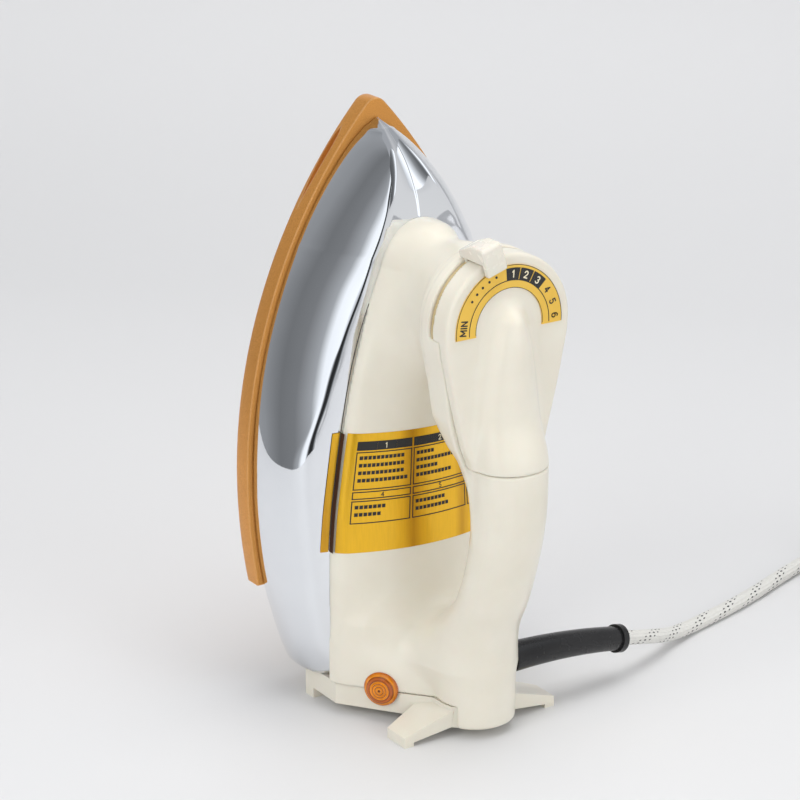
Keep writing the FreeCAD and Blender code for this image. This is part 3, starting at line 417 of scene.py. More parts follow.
def mesh_from_field(field, low, high, step):
    """Points and quads of the surface where field is 0, inside the box from low to high."""
    axes = [np.arange(a, b + step, step) for a, b in zip(low, high)]
    grid = np.meshgrid(*axes, indexing="ij")
    values = field(*grid)
    inside = values < 0
    shape = np.array(values.shape) - 1
    total, count = np.zeros((*shape, 3)), np.zeros(shape)
    corners = [(i, j, k) for i in (0, 1) for j in (0, 1) for k in (0, 1)]

    def at(array, corner):
        i, j, k = corner
        return array[i : shape[0] + i, j : shape[1] + j, k : shape[2] + k]

    for a in corners:
        for axis in range(3):
            if a[axis]:
                continue
            b = tuple(1 if n == axis else a[n] for n in range(3))
            crossed = at(inside, a) != at(inside, b)
            va, vb = at(values, a), at(values, b)
            share = np.where(crossed, va / np.where(crossed, va - vb, 1.0), 0.0)
            for n in range(3):
                total[..., n] += np.where(crossed, a[n] + (share if n == axis else 0.0), 0.0)
            count += crossed
    cells = count > 0
    number = np.full(shape, -1)
    number[cells] = np.arange(cells.sum())
    where = np.argwhere(cells)
    points = (where + total[cells] / count[cells][:, None]) * step + np.array(low)
    faces = []
    for axis in range(3):
        u, v = (axis + 1) % 3, (axis + 2) % 3
        a = [slice(0, s) for s in values.shape]
        b = [slice(0, s) for s in values.shape]
        a[axis], b[axis] = slice(0, -1), slice(1, None)
        starts, ends = inside[tuple(a)], inside[tuple(b)]
        for flip, edges in ((False, starts & ~ends), (True, ~starts & ends)):
            at_edge = np.argwhere(edges)
            ok = (at_edge[:, u] > 0) & (at_edge[:, v] > 0)
            ok &= (at_edge[:, u] < shape[u]) & (at_edge[:, v] < shape[v])
            at_edge = at_edge[ok]
            quad = []
            for du, dv in ((-1, -1), (0, -1), (0, 0), (-1, 0)):
                cell = at_edge.copy()
                cell[:, u] += du
                cell[:, v] += dv
                quad.append(number[cell[:, 0], cell[:, 1], cell[:, 2]])
            quad = np.stack(quad[::-1] if flip else quad, 1)
            faces.append(quad)
    faces = np.concatenate(faces)
    # a few steps along the gradient put each point on the surface itself
    small = step * 0.05
    for _ in range(3):
        here = field(*points.T)
        slope = np.stack(
            [
                (field(*(points + small * np.eye(3)[n]).T) - here) / small
                for n in range(3)
            ],
            1,
        )
        size = np.maximum((slope**2).sum(1), 0.2)
        move = -(here / size)[:, None] * slope
        points += np.clip(move, -0.4 * step, 0.4 * step)
    return points, faces


def fix_normals(obj):
    work = bmesh.new()
    work.from_mesh(obj.data)
    bmesh.ops.recalc_face_normals(work, faces=work.faces)
    work.to_mesh(obj.data)
    work.free()


def merge_close(obj, reach=1e-6):
    work = bmesh.new()
    work.from_mesh(obj.data)
    bmesh.ops.remove_doubles(work, verts=work.verts, dist=reach)
    work.to_mesh(obj.data)
    work.free()


def smooth_by_angle(obj, angle):
    obj.data.shade_smooth()
    obj.data.set_sharp_from_angle(angle=math.radians(angle))


# ---------------------------------------------------------------- the moulded body
SKIRT_LOW = low_high("handle_body", 0)[0]
SKIN_LOW = SKIRT_LOW - 0.8
BODY_LOW = low_high("heel_cover", 2)[1] + 0.4
SLOT_LOW, SLOT_HIGH = (x + gap for x, gap in zip(low_high("lever_disc", 0), (-0.5, 0.5)))
CAP_JOINT, CAP_FACE = 97.6, low_high("dial_plate", 0)[0]
CAP_SEAM, CAP_TOP = low_high("handle_cap", 2)
CAP_SPLIT = HEAD_Z - 3.0
HEAD_RADIUS = CAP_TOP - HEAD_Z
DISC_ROOM, BORE_RADIUS, WALL = 26.3, 3.4, 3.2
JOINT_GAP, SEAM_GAP = 0.15, 0.25
skirt_half = curve_through(
    [(0, 43.8), (15, 43.8), (41, 43.5), (67, 43.3), (84.5, 42.2), (101, 40.2), (124, 36.7),
     (146, 32.3), (166, 26.2), (183, 19.1), (200, 12.0)]
)
skirt_crest = curve_through([(0, 56.5), (67, 56.0), (101, 55.4), (146, 54.0), (183, 52.5), (206, 50)])
grip_centre = curve_through(
    [(0, 82.0), (28, 82.6), (44, 85.0), (58, 93.6), (75, 100.0), (88, 103.1), (100, 104.8),
     (112, 105.4), (119, 105.4), (140, 101.0), (165, 99.5), (179, 99.0), (190, 99)]
)
grip_depth = curve_through(
    [(0, 16.5), (28, 16.5), (44, 16.2), (58, 13.6), (75, 12.6), (88, 13.1), (100, 13.4),
     (119, 13.4), (140, 12.0), (165, 12.2), (176, 11.0), (186, 6.0)]
)
grip_width = curve_through(
    [(0, 16.5), (28, 16.5), (44, 16.0), (58, 14.9), (75, 15.0), (119, 15.2), (140, 13.6),
     (165, 10.5), (178, 7.0), (186, 4.0)]
)
head_half = curve_through(
    [(100, 13.0), (119, 15.2), (127, 18.6), (141, 22.4), (157, 26.0), (172, 28.5), (180, 28.6)]
)
neck_middle = curve_through([(40, 168.0), (50, 170.0), (62, 173.5), (79, 174.7), (90, 174.7)])
neck_height = curve_through([(40, 30.0), (50, 27.5), (62, 25.5), (79, 26.5), (90, 27.0)])
neck_width = curve_through([(40, 17.0), (50, 15.0), (62, 16.5), (72, 19.5), (79, 23.5), (90, 26.0)])


def skirt_outline(y, z):
    tip = np.hypot(y, z - 178.0) - 20.3
    side = np.maximum(np.abs(y) - skirt_half(z), z - 184.0)
    return smooth_min(tip, side, 2.0)


def saddle_skin(x, y, z):
    """The skirt's outer skin, open below: upright sides under one low arch."""
    half = skirt_half(np.minimum(z, 186.0))
    arch = x - (skirt_crest(z) - 11.0 * (y / half) ** 2)
    return smooth_max(arch, skirt_outline(y, z), 6.0)


def saddle_field(x, y, z):
    return np.maximum(saddle_skin(x, y, z), SKIN_LOW - x)


def foot_skin(x, y, z):
    """The block with oblique faces between the skirt and the handle's foot."""
    out = np.abs(y)
    oblique = (x - 46.0) * 0.64 + (out - 42.6) * 0.768
    side = out - 43.6
    front = x - 84.0
    top = (z - 40.0) * 0.8 + (x - 58.0) * 0.35
    f = smooth_max(smooth_max(oblique, side, 3.0), front, 4.0)
    return smooth_max(f, top, 14.0)


def foot_field(x, y, z):
    return np.maximum(foot_skin(x, y, z), SKIN_LOW - x)


def grip_field(x, y, z):
    a, b = grip_depth(z), grip_width(z)
    ring = np.sqrt(((x - grip_centre(z)) / a) ** 2 + (y / b) ** 2)
    return (ring - 1.0) * np.minimum(a, b)


def head_outline(y, z):
    over = np.hypot(y, z - HEAD_Z) - HEAD_RADIUS
    side = np.maximum(np.abs(y) - head_half(z), z - HEAD_Z)
    return np.minimum(over, side)


def neck_field(x, y, z):
    ring = np.sqrt(((z - neck_middle(x)) / neck_height(x)) ** 2 + (y / neck_width(x)) ** 2)
    f = (ring - 1.0) * neck_width(x)
    return np.maximum(np.maximum(f, x - 86.0), 44.0 - x)


def head_field(x, y, z):
    outline = head_outline(y, z)
    drum = smooth_max(outline, 85.2 - x, 1.6)
    bead = smooth_max(outline + 1.5, 81.6 - x, 1.6)
    collar = smooth_max(outline + 3.6, 78.6 - x, 2.0)
    block = smooth_min(smooth_min(drum, bead, 0.8), collar, 1.0)
    under = (91.0 - x) * 0.905 - (z - 119.0) * 0.425
    block = smooth_max(block, under, 8.0)
    return np.maximum(block, x - CAP_JOINT)


def body_field(x, y, z):
    grip = np.maximum(grip_field(x, y, z), z - 125.0)
    grip = smooth_max(grip, 4.5 - z, 1.2)
    soft = 0.5 + 13.5 * np.clip((x - 45) / 9, 0, 1) * np.clip((z - 24) / 16, 0, 1)
    foot = smooth_min(saddle_field(x, y, z), foot_field(x, y, z), soft)
    foot = smooth_min(foot, grip, 1.0 + 15.0 * np.clip((z - 16) / 12, 0, 1))
    foot = np.maximum(foot, BODY_LOW - z)
    foot = np.minimum(foot, np.maximum(grip, 90.2 - x))
    top = smooth_min(neck_field(x, y, z), head_field(x, y, z), 2.5)
    whole = smooth_min(smooth_min(foot, neck_field(x, y, z), 16.0), top, 1.0)
    whole = smooth_min(whole, head_field(x, y, z), 1.0 + 6.0 * np.clip((152 - z) / 14, 0, 1))
    # the cap's place: over the slot above the dial's centre, above the seam in front
    cap = np.minimum(
        np.maximum(SLOT_LOW - x, CAP_SPLIT - z), np.maximum(CAP_JOINT - x, CAP_SEAM - z)
    )
    whole = smooth_max(whole, -cap, 0.8)
    whole = np.maximum(whole, SKIN_LOW - x)
    # slot for the lever's disc, spindle bore and the hollow under the skirt
    pocket = np.maximum(np.hypot(y, z - HEAD_Z) - DISC_ROOM, np.maximum(SLOT_LOW - x, x - SLOT_HIGH))
    upper = np.maximum(np.maximum(SLOT_LOW - x, x - SLOT_HIGH), CAP_SPLIT - z)
    bore = np.maximum(np.hypot(y, z - HEAD_Z) - BORE_RADIUS, 40.0 - x)
    hollow = np.maximum(saddle_skin(x, y, z) + WALL, z - 186.0)
    cellar = np.maximum(foot_skin(x, y, z) + WALL, z - 34.0)
    for space in (pocket, upper, bore, hollow, cellar):
        whole = np.maximum(whole, -space)
    return whole


def make_body():
    step = 0.9
    points, faces = mesh_from_field(body_field, (38, -48, 1), (124, 48, 207), step)
    body = new_piece("handle_moulding", points, faces, cream)
    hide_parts("handle_body")


def cap_field(x, y, z):
    plate = smooth_max(head_outline(y, z), x - CAP_FACE, 1.6)
    plate = np.maximum(plate, np.where(z > CAP_SPLIT, SLOT_HIGH - x, CAP_JOINT + JOINT_GAP - x))
    ridge = smooth_max(grip_field(x, y, z), z - 183.0, 6.0)
    ridge = np.maximum(ridge, CAP_JOINT + JOINT_GAP - x)
    f = smooth_min(plate, ridge, 5.0)
    bore = np.maximum(np.hypot(y, z - HEAD_Z) - BORE_RADIUS, x - 97.4)
    return np.maximum(np.maximum(f, CAP_SEAM + SEAM_GAP - z), -bore)


def make_cap():
    step = 0.7
    points, faces = mesh_from_field(cap_field, (88, -34, 114), (124, 34, 207), step)
    cap = new_piece("dial_cap", points, faces, cream)
    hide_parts("handle_cap")


make_body()
make_cap()


# ---------------------------------------------------------------- soleplate
SOLE_HALF = low_high("soleplate", 1)[1]
SOLE_REAR, SOLE_TIP = low_high("soleplate", 2)
SOLE_WIDEST, SIDE_R, HEEL_R, NOSE_R = 94.0, 221.2, 245.0, 6.0


def sole_half(z, inset=0.0):
    """Half width of the sole's outline, moved inwards, at a height."""
    z = np.asarray(z, float)
    radius = np.where(z > SOLE_WIDEST, SIDE_R, HEEL_R)
    side = SOLE_HALF - radius + np.sqrt(
        np.maximum((radius - inset) ** 2 - (z - SOLE_WIDEST) ** 2, 0.0)
    )
    nose_z, nose_r = SOLE_TIP - NOSE_R, NOSE_R - inset
    nose = np.sqrt(np.maximum(nose_r**2 - (z - nose_z) ** 2, 0.0))
    return np.where(z > nose_z + 0.67 * nose_r, nose, side)


def sole_outline():
    """Points and outward normals round the sole, from the heel up the -Y side."""
    points, normals = [], []
    for z in np.linspace(SOLE_REAR, SOLE_WIDEST, 16)[:-1]:
        across = math.sqrt(HEEL_R**2 - (z - SOLE_WIDEST) ** 2)
        points.append((SOLE_HALF - HEEL_R + across, z))
        normals.append((across / HEEL_R, (z - SOLE_WIDEST) / HEEL_R))
    middle, nose = np.array([SOLE_HALF - SIDE_R, SOLE_WIDEST]), np.array([0.0, SOLE_TIP - NOSE_R])
    way = (nose - middle) / np.hypot(*(nose - middle))
    end = math.atan2(way[1], way[0])
    for angle in np.linspace(0, end, 90)[:-1]:
        normal = np.array([math.cos(angle), math.sin(angle)])
        points.append(tuple(middle + SIDE_R * normal))
        normals.append(tuple(normal))
    for angle in np.linspace(end, math.pi / 2, 9):
        normal = np.array([math.cos(angle), math.sin(angle)])
        points.append(tuple(nose + NOSE_R * normal))
        normals.append(tuple(normal))
    points = [(-y, z) for y, z in points] + [(y, z) for y, z in reversed(points[:-1])]
    normals = [(-y, z) for y, z in normals] + [(y, z) for y, z in reversed(normals[:-1])]
    return np.array(points), np.array(normals)


def make_sole():
    """The coated plate: bevelled face, edge with a tapered button groove, rim ledge."""
    outline, normals = sole_outline()
    rings = []
    size = curve_through([(200, 0), (204, 0.05), (216, 0.75), (226, 1.0), (231, 0.75), (234, 0.0)])(
        outline[:, 1]
    )
    size = np.where((outline[:, 1] > 203) & (outline[:, 1] < 234), size, 0.0)
    profile = [
        (0.0, 2.2, 0), (0.05, 1.6, 0), (0.35, 0.9, 0), (1.0, 0.15, 0), (1.4, 0.0, 0),
        (3.4, 0.0, -1), (3.4, 0.9, -0.75), (3.4, 1.0, 0.75), (3.4, 0.0, 1), (8.4, 0.0, 0),
        (9.1, 0.12, 0), (9.4, 0.4, 0), (9.5, 0.8, 0), (9.5, 3.0, 0), (9.5, 5.0, 0),
    ]
    for x, inset, groove in profile:
        deep = inset * size * 2.2 if groove else np.full(len(outline), inset)
        at_x = x + groove * (0.12 + 1.55 * size) if groove else np.full(len(outline), x)
        place = outline - normals * np.asarray(deep)[:, None]
        place[:, 1] = np.where(
            outline[:, 1] < SOLE_REAR + 0.01, SOLE_REAR + np.minimum(deep, 2.0), place[:, 1]
        )
        rings.append(np.column_stack([at_x, place]))
    count = len(outline)
    points = np.concatenate(rings)
    faces = lathe_faces(len(profile), count)
    faces.append(list(range(count))[::-1])
    faces.append([(len(profile) - 1) * count + j for j in range(count)])
    sole = new_piece("coated_sole", points, faces, sole_coat, smooth=False)
    fix_normals(sole)
    smooth_by_angle(sole, 32)
    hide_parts("soleplate")


make_sole()


# ---------------------------------------------------------------- chrome cover
COVER_LOW = low_high("chrome_cover", 0)[0]
SHELF_X, SHELF_CROWN, SHELF_END = 41.4, 0.05, 197.5
cover_half = curve_through(
    [(13.4, 44.6), (17, 46.2), (24, 48.6), (34, 51.6), (47.7, 55.2), (60, 57.3), (75, 58.9),
     (89, 59.6), (99, 59.55), (109.5, 59.2)]
)
ridge_x = curve_through(
    [(13, 36.5), (20, 37.8), (47, 38.6), (80, 38.8), (105, 38.5), (119, 38.5), (133, 39.0),
     (151, 39.8), (162, 40.6), (177, 42.0), (189, 43.3), (200, 43.0), (210, 41.0), (215, 39.0),
     (220, 36.0), (225, 31.6), (230, 25.4), (233, 20.0), (235, 16.0), (236.5, 12.6), (237.3, 10.8)]
)
ridge_y = curve_through(
    [(13, 44.0), (20, 45.2), (30, 46.4), (47.7, 48.8), (80, 50.8), (95, 51.8), (105, 52.2),
     (112, 51.2), (118.4, 49.2), (125, 46.4), (132, 43.3), (142, 39.9), (151, 36.4),
     (162, 32.2), (177, 25.9), (189, 22.3), (200, 17.2), (210, 12.9), (215, 10.5),
     (220, 8.0), (225, 5.6), (230, 3.4), (235, 1.6), (237.3, 0.2)]
)
cover_inset = curve_through(
    [(100, 2.6), (195, 2.6), (210, 2.9), (220, 3.5), (226, 4.2), (230, 5.0), (233, 6.2),
     (235, 7.6), (236.4, 9.0), (237.3, 9.25)]
)
facet_x = curve_through(
    [(190, 41.6), (197, 41.8), (203, 41.0), (210, 39.4), (217, 36.0), (224, 31.0), (230, 24.2),
     (233, 19.4), (235, 15.6), (236.5, 12.4), (237.3, 10.6)]
)


def cover_profile(z):
    """Half of the cover's section at a height, from its lower edge to the middle plane."""
    foot = float(sole_half(z) - cover_inset(z)) if z > 105 else float(cover_half(z))
    foot = max(foot, 0.3)
    ridge = np.array([float(ridge_x(z)), min(float(ridge_y(z)), foot * 0.93)])
    sharp = float(np.clip((z - 98.0) / 24.0, 0.0, 1.0))
    start = np.array([COVER_LOW, foot])
    span = ridge - start
    length = np.hypot(*span)
    away = np.array([-span[1], span[0]]) / length
    wall = []
    for t in np.linspace(0, 1, 41):
        lean = (t * (1 - t)) * 4 * 0.095 * length
        wall.append(start + span * t + away * lean)
    if z < SHELF_END:
        half = float(skirt_half(z)) if z < 184 else math.sqrt(max(20.3**2 - (z - 178.0) ** 2, 0))
        inner = np.array([SHELF_X, max(min(half - 1.2, ridge[1] - 1.0), 0.0)])
    else:
        inner = np.array([float(facet_x(z)), 0.0])
    shelf_span = inner - ridge
    reach = np.hypot(*shelf_span)
    shelf = []
    for t in np.linspace(0, 1, 21):
        point = ridge + shelf_span * t
        if z < SHELF_END:
            point[0] += 4 * t * (1 - t) * SHELF_CROWN * reach
        else:
            point[0] = ridge[0] + shelf_span[0] * (1 - (1 - t) ** 2)
        shelf.append(point)
    # the corner between wall and shelf is rolled over a small radius
    roll = min(0.42 * reach, 0.4 * length, 1.8 + 8.0 * (1 - sharp))
    wall, shelf = np.array(wall), np.array(shelf)
    walk = np.hypot(*(wall - wall[-1]).T)
    a = wall[walk > roll][-1]
    walk = np.hypot(*(shelf - shelf[0]).T)
    b = shelf[walk > roll][0]
    corner = [
        a * (1 - t) ** 2 + ridge * 2 * t * (1 - t) + b * t * t for t in np.linspace(0, 1, 15)
    ]
    kept_wall = resample(wall[np.hypot(*(wall - wall[-1]).T) >= roll], 26)
    kept_shelf = resample(shelf[np.hypot(*(shelf - shelf[0]).T) >= roll], 14)
    middle = [np.array([inner[0], inner[1] * (1 - t)]) for t in np.linspace(0, 1, 5)[1:]]
    return np.array([*kept_wall, *corner[1:-1], *kept_shelf, *middle])


def resample(points, count):
    """The same line with evenly spaced points."""
    walk = np.concatenate([[0], np.cumsum(np.hypot(*np.diff(points, axis=0).T))])
    at = np.linspace(0, walk[-1], count)
    return np.column_stack([np.interp(at, walk, points[:, n]) for n in (0, 1)])


def make_cover():
    heights = np.concatenate([np.linspace(13.4, 190, 110), np.linspace(191, 234, 50),
                              np.linspace(234.4, 237.3, 10)])
    rows = []
    for z in heights:
        half = cover_profile(z)
        row = np.concatenate([half, half[-2::-1] * [1, -1]])
        rows.append(np.column_stack([row[:, 0], row[:, 1], np.full(len(row), z)]))
    points = np.array(rows)
    # smoothed along its height, so the reflections run without ripples
    for _ in range(6):
        points[1:-1, :, :2] = (
            points[1:-1, :, :2] * 0.5 + (points[:-2, :, :2] + points[2:, :, :2]) * 0.25
        )
    # the lower edge curves up towards the handle
    rise = np.clip((points[..., 0] - 30.0) / 11.4, 0, 1) ** 2 * 4.0 + 0.6
    points[..., 2] += rise * np.clip(1 - (points[..., 2] - 13.4) / 16.0, 0, 1)
    across = points.shape[1]
    faces = [
        (i * across + j, (i + 1) * across + j, (i + 1) * across + j + 1, i * across + j + 1)
        for i in range(len(heights) - 1)
        for j in range(across - 1)
    ]
    cover = new_piece("chrome_shell", points.reshape(-1, 3), faces, chrome)
    wall = cover.modifiers.new("wall", "SOLIDIFY")
    wall.thickness = 0.8 * MM
    wall.offset = -1.0
    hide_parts("chrome_cover")


make_cover()


# ---------------------------------------------------------------- label
LABEL_LOW, LABEL_HIGH = (z + gap for z, gap in zip(low_high("label_plate", 2), (-0.1, 0.1)))
INK_LIFT, SHEET_LIFT = 0.22, 0.14


def skirt_x(y, z, lift):
    """Height of the skirt's skin, raised by lift, over a place seen from above."""
    low, high = np.full(np.shape(y), 43.0), np.full(np.shape(y), 60.0)
    for _ in range(26):
        middle = (low + high) / 2
        inside = saddle_field(middle, y, z) < lift
        low, high = np.where(inside, middle, low), np.where(inside, high, middle)
    return (low + high) / 2


def make_label():
    rows = []
    for z in np.linspace(LABEL_LOW, LABEL_HIGH, 30):
        end = math.atan2(float(skirt_half(z)), 3.9)
        angle = np.linspace(-end, end, 120)
        low, high = np.full(120, 2.0), np.full(120, 60.0)
        for _ in range(26):
            middle = (low + high) / 2
            field = saddle_field(40 + middle * np.cos(angle), middle * np.sin(angle), z)
            inside = field < SHEET_LIFT
            low, high = np.where(inside, middle, low), np.where(inside, high, middle)
        rows.append(np.column_stack([40 + low * np.cos(angle), low * np.sin(angle), np.full(120, z)]))
    points = np.array(rows)
    faces = [
        (i * 120 + j, i * 120 + j + 1, (i + 1) * 120 + j + 1, (i + 1) * 120 + j)
        for i in range(29)
        for j in range(119)
    ]
    label = new_piece("label_band", points.reshape(-1, 3), faces, label_gold)
    fix_normals(label)
    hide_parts("label_plate")


def shelf_x(y, z):
    """Where the cover's shelf stands, beside the skirt."""
    inner, outer = float(skirt_half(z)) - 1.2, float(ridge_y(z))
    share = min(max((y - inner) / (outer - inner), 0.0), 1.0)
    crown = 4 * share * (1 - share) * SHELF_CROWN * (outer - inner)
    return SHELF_X + (float(ridge_x(z)) - SHELF_X) * share + crown


def make_seam():
    """Painted shade as dark strips along the gap between the chrome and the handle and at the label's
    ends, and a painted reflection of the label on the chrome's shelf.
    """
    walk = []
    for angle in np.linspace(-2.05, 2.05, 260):
        way = np.array([math.sin(angle), math.cos(angle)])
        low, high = 5.0, 130.0
        for _ in range(30):
            middle = (low + high) / 2
            inside = skirt_outline(way[0] * middle, 100 + way[1] * middle) < 0.12
            low, high = (middle, high) if inside else (low, middle)
        walk.append((way[0] * low, 100 + way[1] * low))
    walk = np.array([w for w in walk if w[1] > BODY_LOW + 0.2])
    # painted shade: a dark ribbon standing between the chrome's shelf and the skirt
    points = [(x, y, z) for y, z in walk for x in (41.2, SKIRT_LOW)]
    faces = ladder(len(walk) - 1)
    seam_shade_strip = new_piece("seam_shadow", points, faces, painted_seam_shade)
    fix_normals(seam_shade_strip)
    for side in (-1, 1):
        # painted shade: dark strips beside the label's ends, where the gold falls into shadow
        ends = [(side * (float(skirt_half(z)) + 0.1), z) for z in np.linspace(LABEL_LOW, LABEL_HIGH, 20)]
        points = [(x, y, z) for y, z in ends for x in (41.3, 44.2)]
        faces = ladder(len(ends) - 1)
        end_shade_strip = new_piece(f"label_end_shade_{side + 1}", points, faces, painted_gap_shade)
        fix_normals(end_shade_strip)
        # painted reflection: a gold strip laid just over the chrome shelf stands for the label mirrored
        # in it
        points = [
            (shelf_x(half + out, z) + 0.4, side * (half + out), z)
            for half, z in ((float(skirt_half(z)) + 0.6, z) for _, z in ends)
            for out in (0.0, 1.1, 2.2, 3.2)
        ]
        faces = [
            (4 * n + m, 4 * n + m + 1, 4 * n + m + 5, 4 * n + m + 4)
            for n in range(len(ends) - 1) for m in range(3)
        ]
        painted_reflection_strip = new_piece(f"label_painted_reflection_{side + 1}", points, faces, label_gold)
        fix_normals(painted_reflection_strip)


def rectangle(y0, z0, y1, z1, step=1.2):
    """A rectangle cut into strips, so that it can follow a curved face."""
    count = max(1, int(math.ceil(abs(y1 - y0) / step)))
    ys = np.linspace(y0, y1, count + 1)
    points = [(y, z) for y in ys for z in (z0, z1)]
    return points, ladder(count)


def bend(cx, cy, rx, ry, start, end, count=10):
    """Points of an arc, angles in degrees from the right, anticlockwise."""
    return [
        (cx + rx * math.cos(math.radians(t)), cy + ry * math.sin(math.radians(t)))
        for t in np.linspace(start, end, count)
    ]


# strokes of plain numbers in a box 1 high
STROKES = {
    "1": [[(0.12, 0.76), (0.32, 1.0), (0.32, 0.0)]],
    "2": [bend(0.3, 0.7, 0.27, 0.3, 170, -35) + [(0.04, 0.0), (0.6, 0.0)]],
    "3": [bend(0.28, 0.75, 0.25, 0.25, 150, -80), bend(0.28, 0.27, 0.29, 0.27, 80, -150)],
    "4": [[(0.45, 0.0), (0.45, 1.0), (0.02, 0.3), (0.62, 0.3)]],
    "5": [[(0.55, 1.0), (0.12, 1.0), (0.08, 0.56)] + bend(0.28, 0.32, 0.3, 0.32, 120, -150)],
    "6": [bend(0.33, 0.5, 0.31, 0.5, 60, 190) + bend(0.31, 0.3, 0.29, 0.3, 180, 540, 18)],
    "M": [[(0.0, 0.0), (0.0, 1.0), (0.38, 0.25), (0.76, 1.0), (0.76, 0.0)]],
    "I": [[(0.0, 0.0), (0.0, 1.0)]],
    "N": [[(0.0, 0.0), (0.0, 1.0), (0.6, 0.0), (0.6, 1.0)]],
}


def ribbon(line, half):
    """Quads along a line, with a small round at each point."""
    points, faces = [], []
    for (ax, ay), (bx, by) in zip(line, line[1:]):
        length = math.hypot(bx - ax, by - ay)
        if length < 1e-9:
            continue
        sx, sy = -(by - ay) / length * half, (bx - ax) / length * half
        first = len(points)
        points += [(ax + sx, ay + sy), (ax - sx, ay - sy), (bx - sx, by - sy), (bx + sx, by + sy)]
        faces.append(tuple(range(first, first + 4)))
    for x, y in line:
        first = len(points)
        points += [
            (x + half * math.cos(t), y + half * math.sin(t))
            for t in np.linspace(0, 2 * math.pi, 10, endpoint=False)
        ]
        faces.append(tuple(range(first, first + 10)))
    return points, faces


def glyphs(text, size, weight=0.085):
    """Plain numbers drawn with a round pen, centred on the origin."""
    points, faces, at = [], [], 0.0
    for letter in text:
        strokes = STROKES[letter]
        for line in strokes:
            more, quads = ribbon([(x + at, y) for x, y in line], weight)
            faces += [tuple(n + len(points) for n in quad) for quad in quads]
            points += more
        at += max(x for line in strokes for x, _ in line) + 0.34
    points = np.array(points)
    points = (points - (points.min(0) + points.max(0)) / 2) * size
    return [tuple(p) for p in points], faces


class Print:
    """Flat shapes gathered into one thin printed layer."""

    def __init__(self):
        self.points, self.faces = [], []

    def add(self, shape):
        points, faces = shape
        first = len(self.points)
        self.points += list(points)
        self.faces += [tuple(first + n for n in face) for face in faces]


def cell_frame(ink, y0, z0, y1, z1, line=0.42):
    for box in (
        (y0, z0, y1, z0 + line), (y0, z1 - line, y1, z1), (y0, z0, y0 + line, z1),
        (y1 - line, z0, y1, z1),
    ):
        ink.add(rectangle(*box))


def fill_lines(ink, y, z, widths):
    """Rows of small plain blocks in place of words."""
    for width in widths:
        at = y
        while at < y + width:
            ink.add(rectangle(at, z, at + 1.35, z + 1.5))
            at += 1.7
        z -= 3.1


def face_out(points, faces, centre_y=None):
    """Each flat face on its own, wound to face outwards, a hair above its neighbour."""
    new_points, new_faces = [], []
    for n, face in enumerate(faces):
        corners = np.array([points[k] for k in face])
        normal = np.cross(corners[1] - corners[0], corners[2] - corners[0])
        out = np.array([1.0, 0.0, 0.0])
        if centre_y is not None:
            out = np.array([max(corners[0][0] - 40.0, 0.1), corners[0][1], 0.0])
            out /= np.linalg.norm(out)
        if normal @ out < 0:
            corners = corners[::-1]
        new_faces.append(tuple(range(len(new_points), len(new_points) + len(corners))))
        new_points += [tuple(c + out * 0.006 * (n % 7)) for c in corners]
    return new_points, new_faces


def on_skirt(layer, name, material, lift=INK_LIFT):
    points = np.array(layer.points)
    y, z = points[:, 0] * (skirt_half(points[:, 1]) - 5.0) / 36.0, points[:, 1]
    places = np.column_stack([skirt_x(y, z, lift), y, z])
    places, faces = face_out(places, layer.faces, 0.0)
    new_piece(name, places, faces, material, smooth=False)


def make_label_print():
    ink, pale = Print(), Print()
    columns = [(-36.0, -12.8), (-12.0, 13.2), (14.0, 36.0)]
    words = [(17, 18, 18, 19), (8, 19, 9, 17), (17, 15, 17, 13)]
    low_words = [(11, 10), (13, 15), (11, 12)]
    for n, (y0, y1) in enumerate(columns):
        ink.add(rectangle(y0, 113.6, y1, 117.3))
        cell_frame(ink, y0, 97.3, y1, 113.0)
        cell_frame(ink, y0, 93.4, y1, 96.6)
        cell_frame(ink, y0, 83.2, y1, 92.8)
        fill_lines(ink, y0 + 1.4, 109.8, words[n])
        fill_lines(ink, y0 + 1.4, 89.4, low_words[n])
        middle = (y0 + y1) / 2
        points, faces = glyphs(str(n + 1), 2.0)
        pale.add(([(y + middle, z + 115.45) for y, z in points], faces))
        points, faces = glyphs(str(n + 4), 1.7)
        ink.add(([(y + middle, z + 95.0) for y, z in points], faces))
    on_skirt(ink, "label_ink", ink_black)
    on_skirt(pale, "label_numbers", pale_print, INK_LIFT + 0.2)


# ---------------------------------------------------------------- dial print
DIAL_X = low_high("dial_plate", 0)[1]


def polar(turn, radius):
    """Place on the dial, turn in degrees clockwise from its top."""
    angle = math.radians(turn)
    return radius * math.sin(angle), HEAD_Z + radius * math.cos(angle)


def arc_band(start, end, inner, outer):
    turns = np.linspace(start, end, max(2, int(abs(end - start) / 3) + 1))
    points = [polar(turn, r) for turn in turns for r in (inner, outer)]
    return points, ladder(len(turns) - 1)


def upright(shape, turn, radius):
    """A shape set on the dial with its top outwards."""
    points, faces = shape
    angle = math.radians(turn)
    y0, z0 = polar(turn, radius)
    return [
        (
            y0 + y * math.cos(angle) + z * math.sin(angle),
            z0 - y * math.sin(angle) + z * math.cos(angle),
        )
        for y, z in points
    ], faces


def on_dial(layer, name, material, lift):
    points = np.array(layer.points)
    places = np.column_stack([np.full(len(points), DIAL_X + lift), points])
    places, faces = face_out(places, layer.faces)
    new_piece(name, places, faces, material, smooth=False)


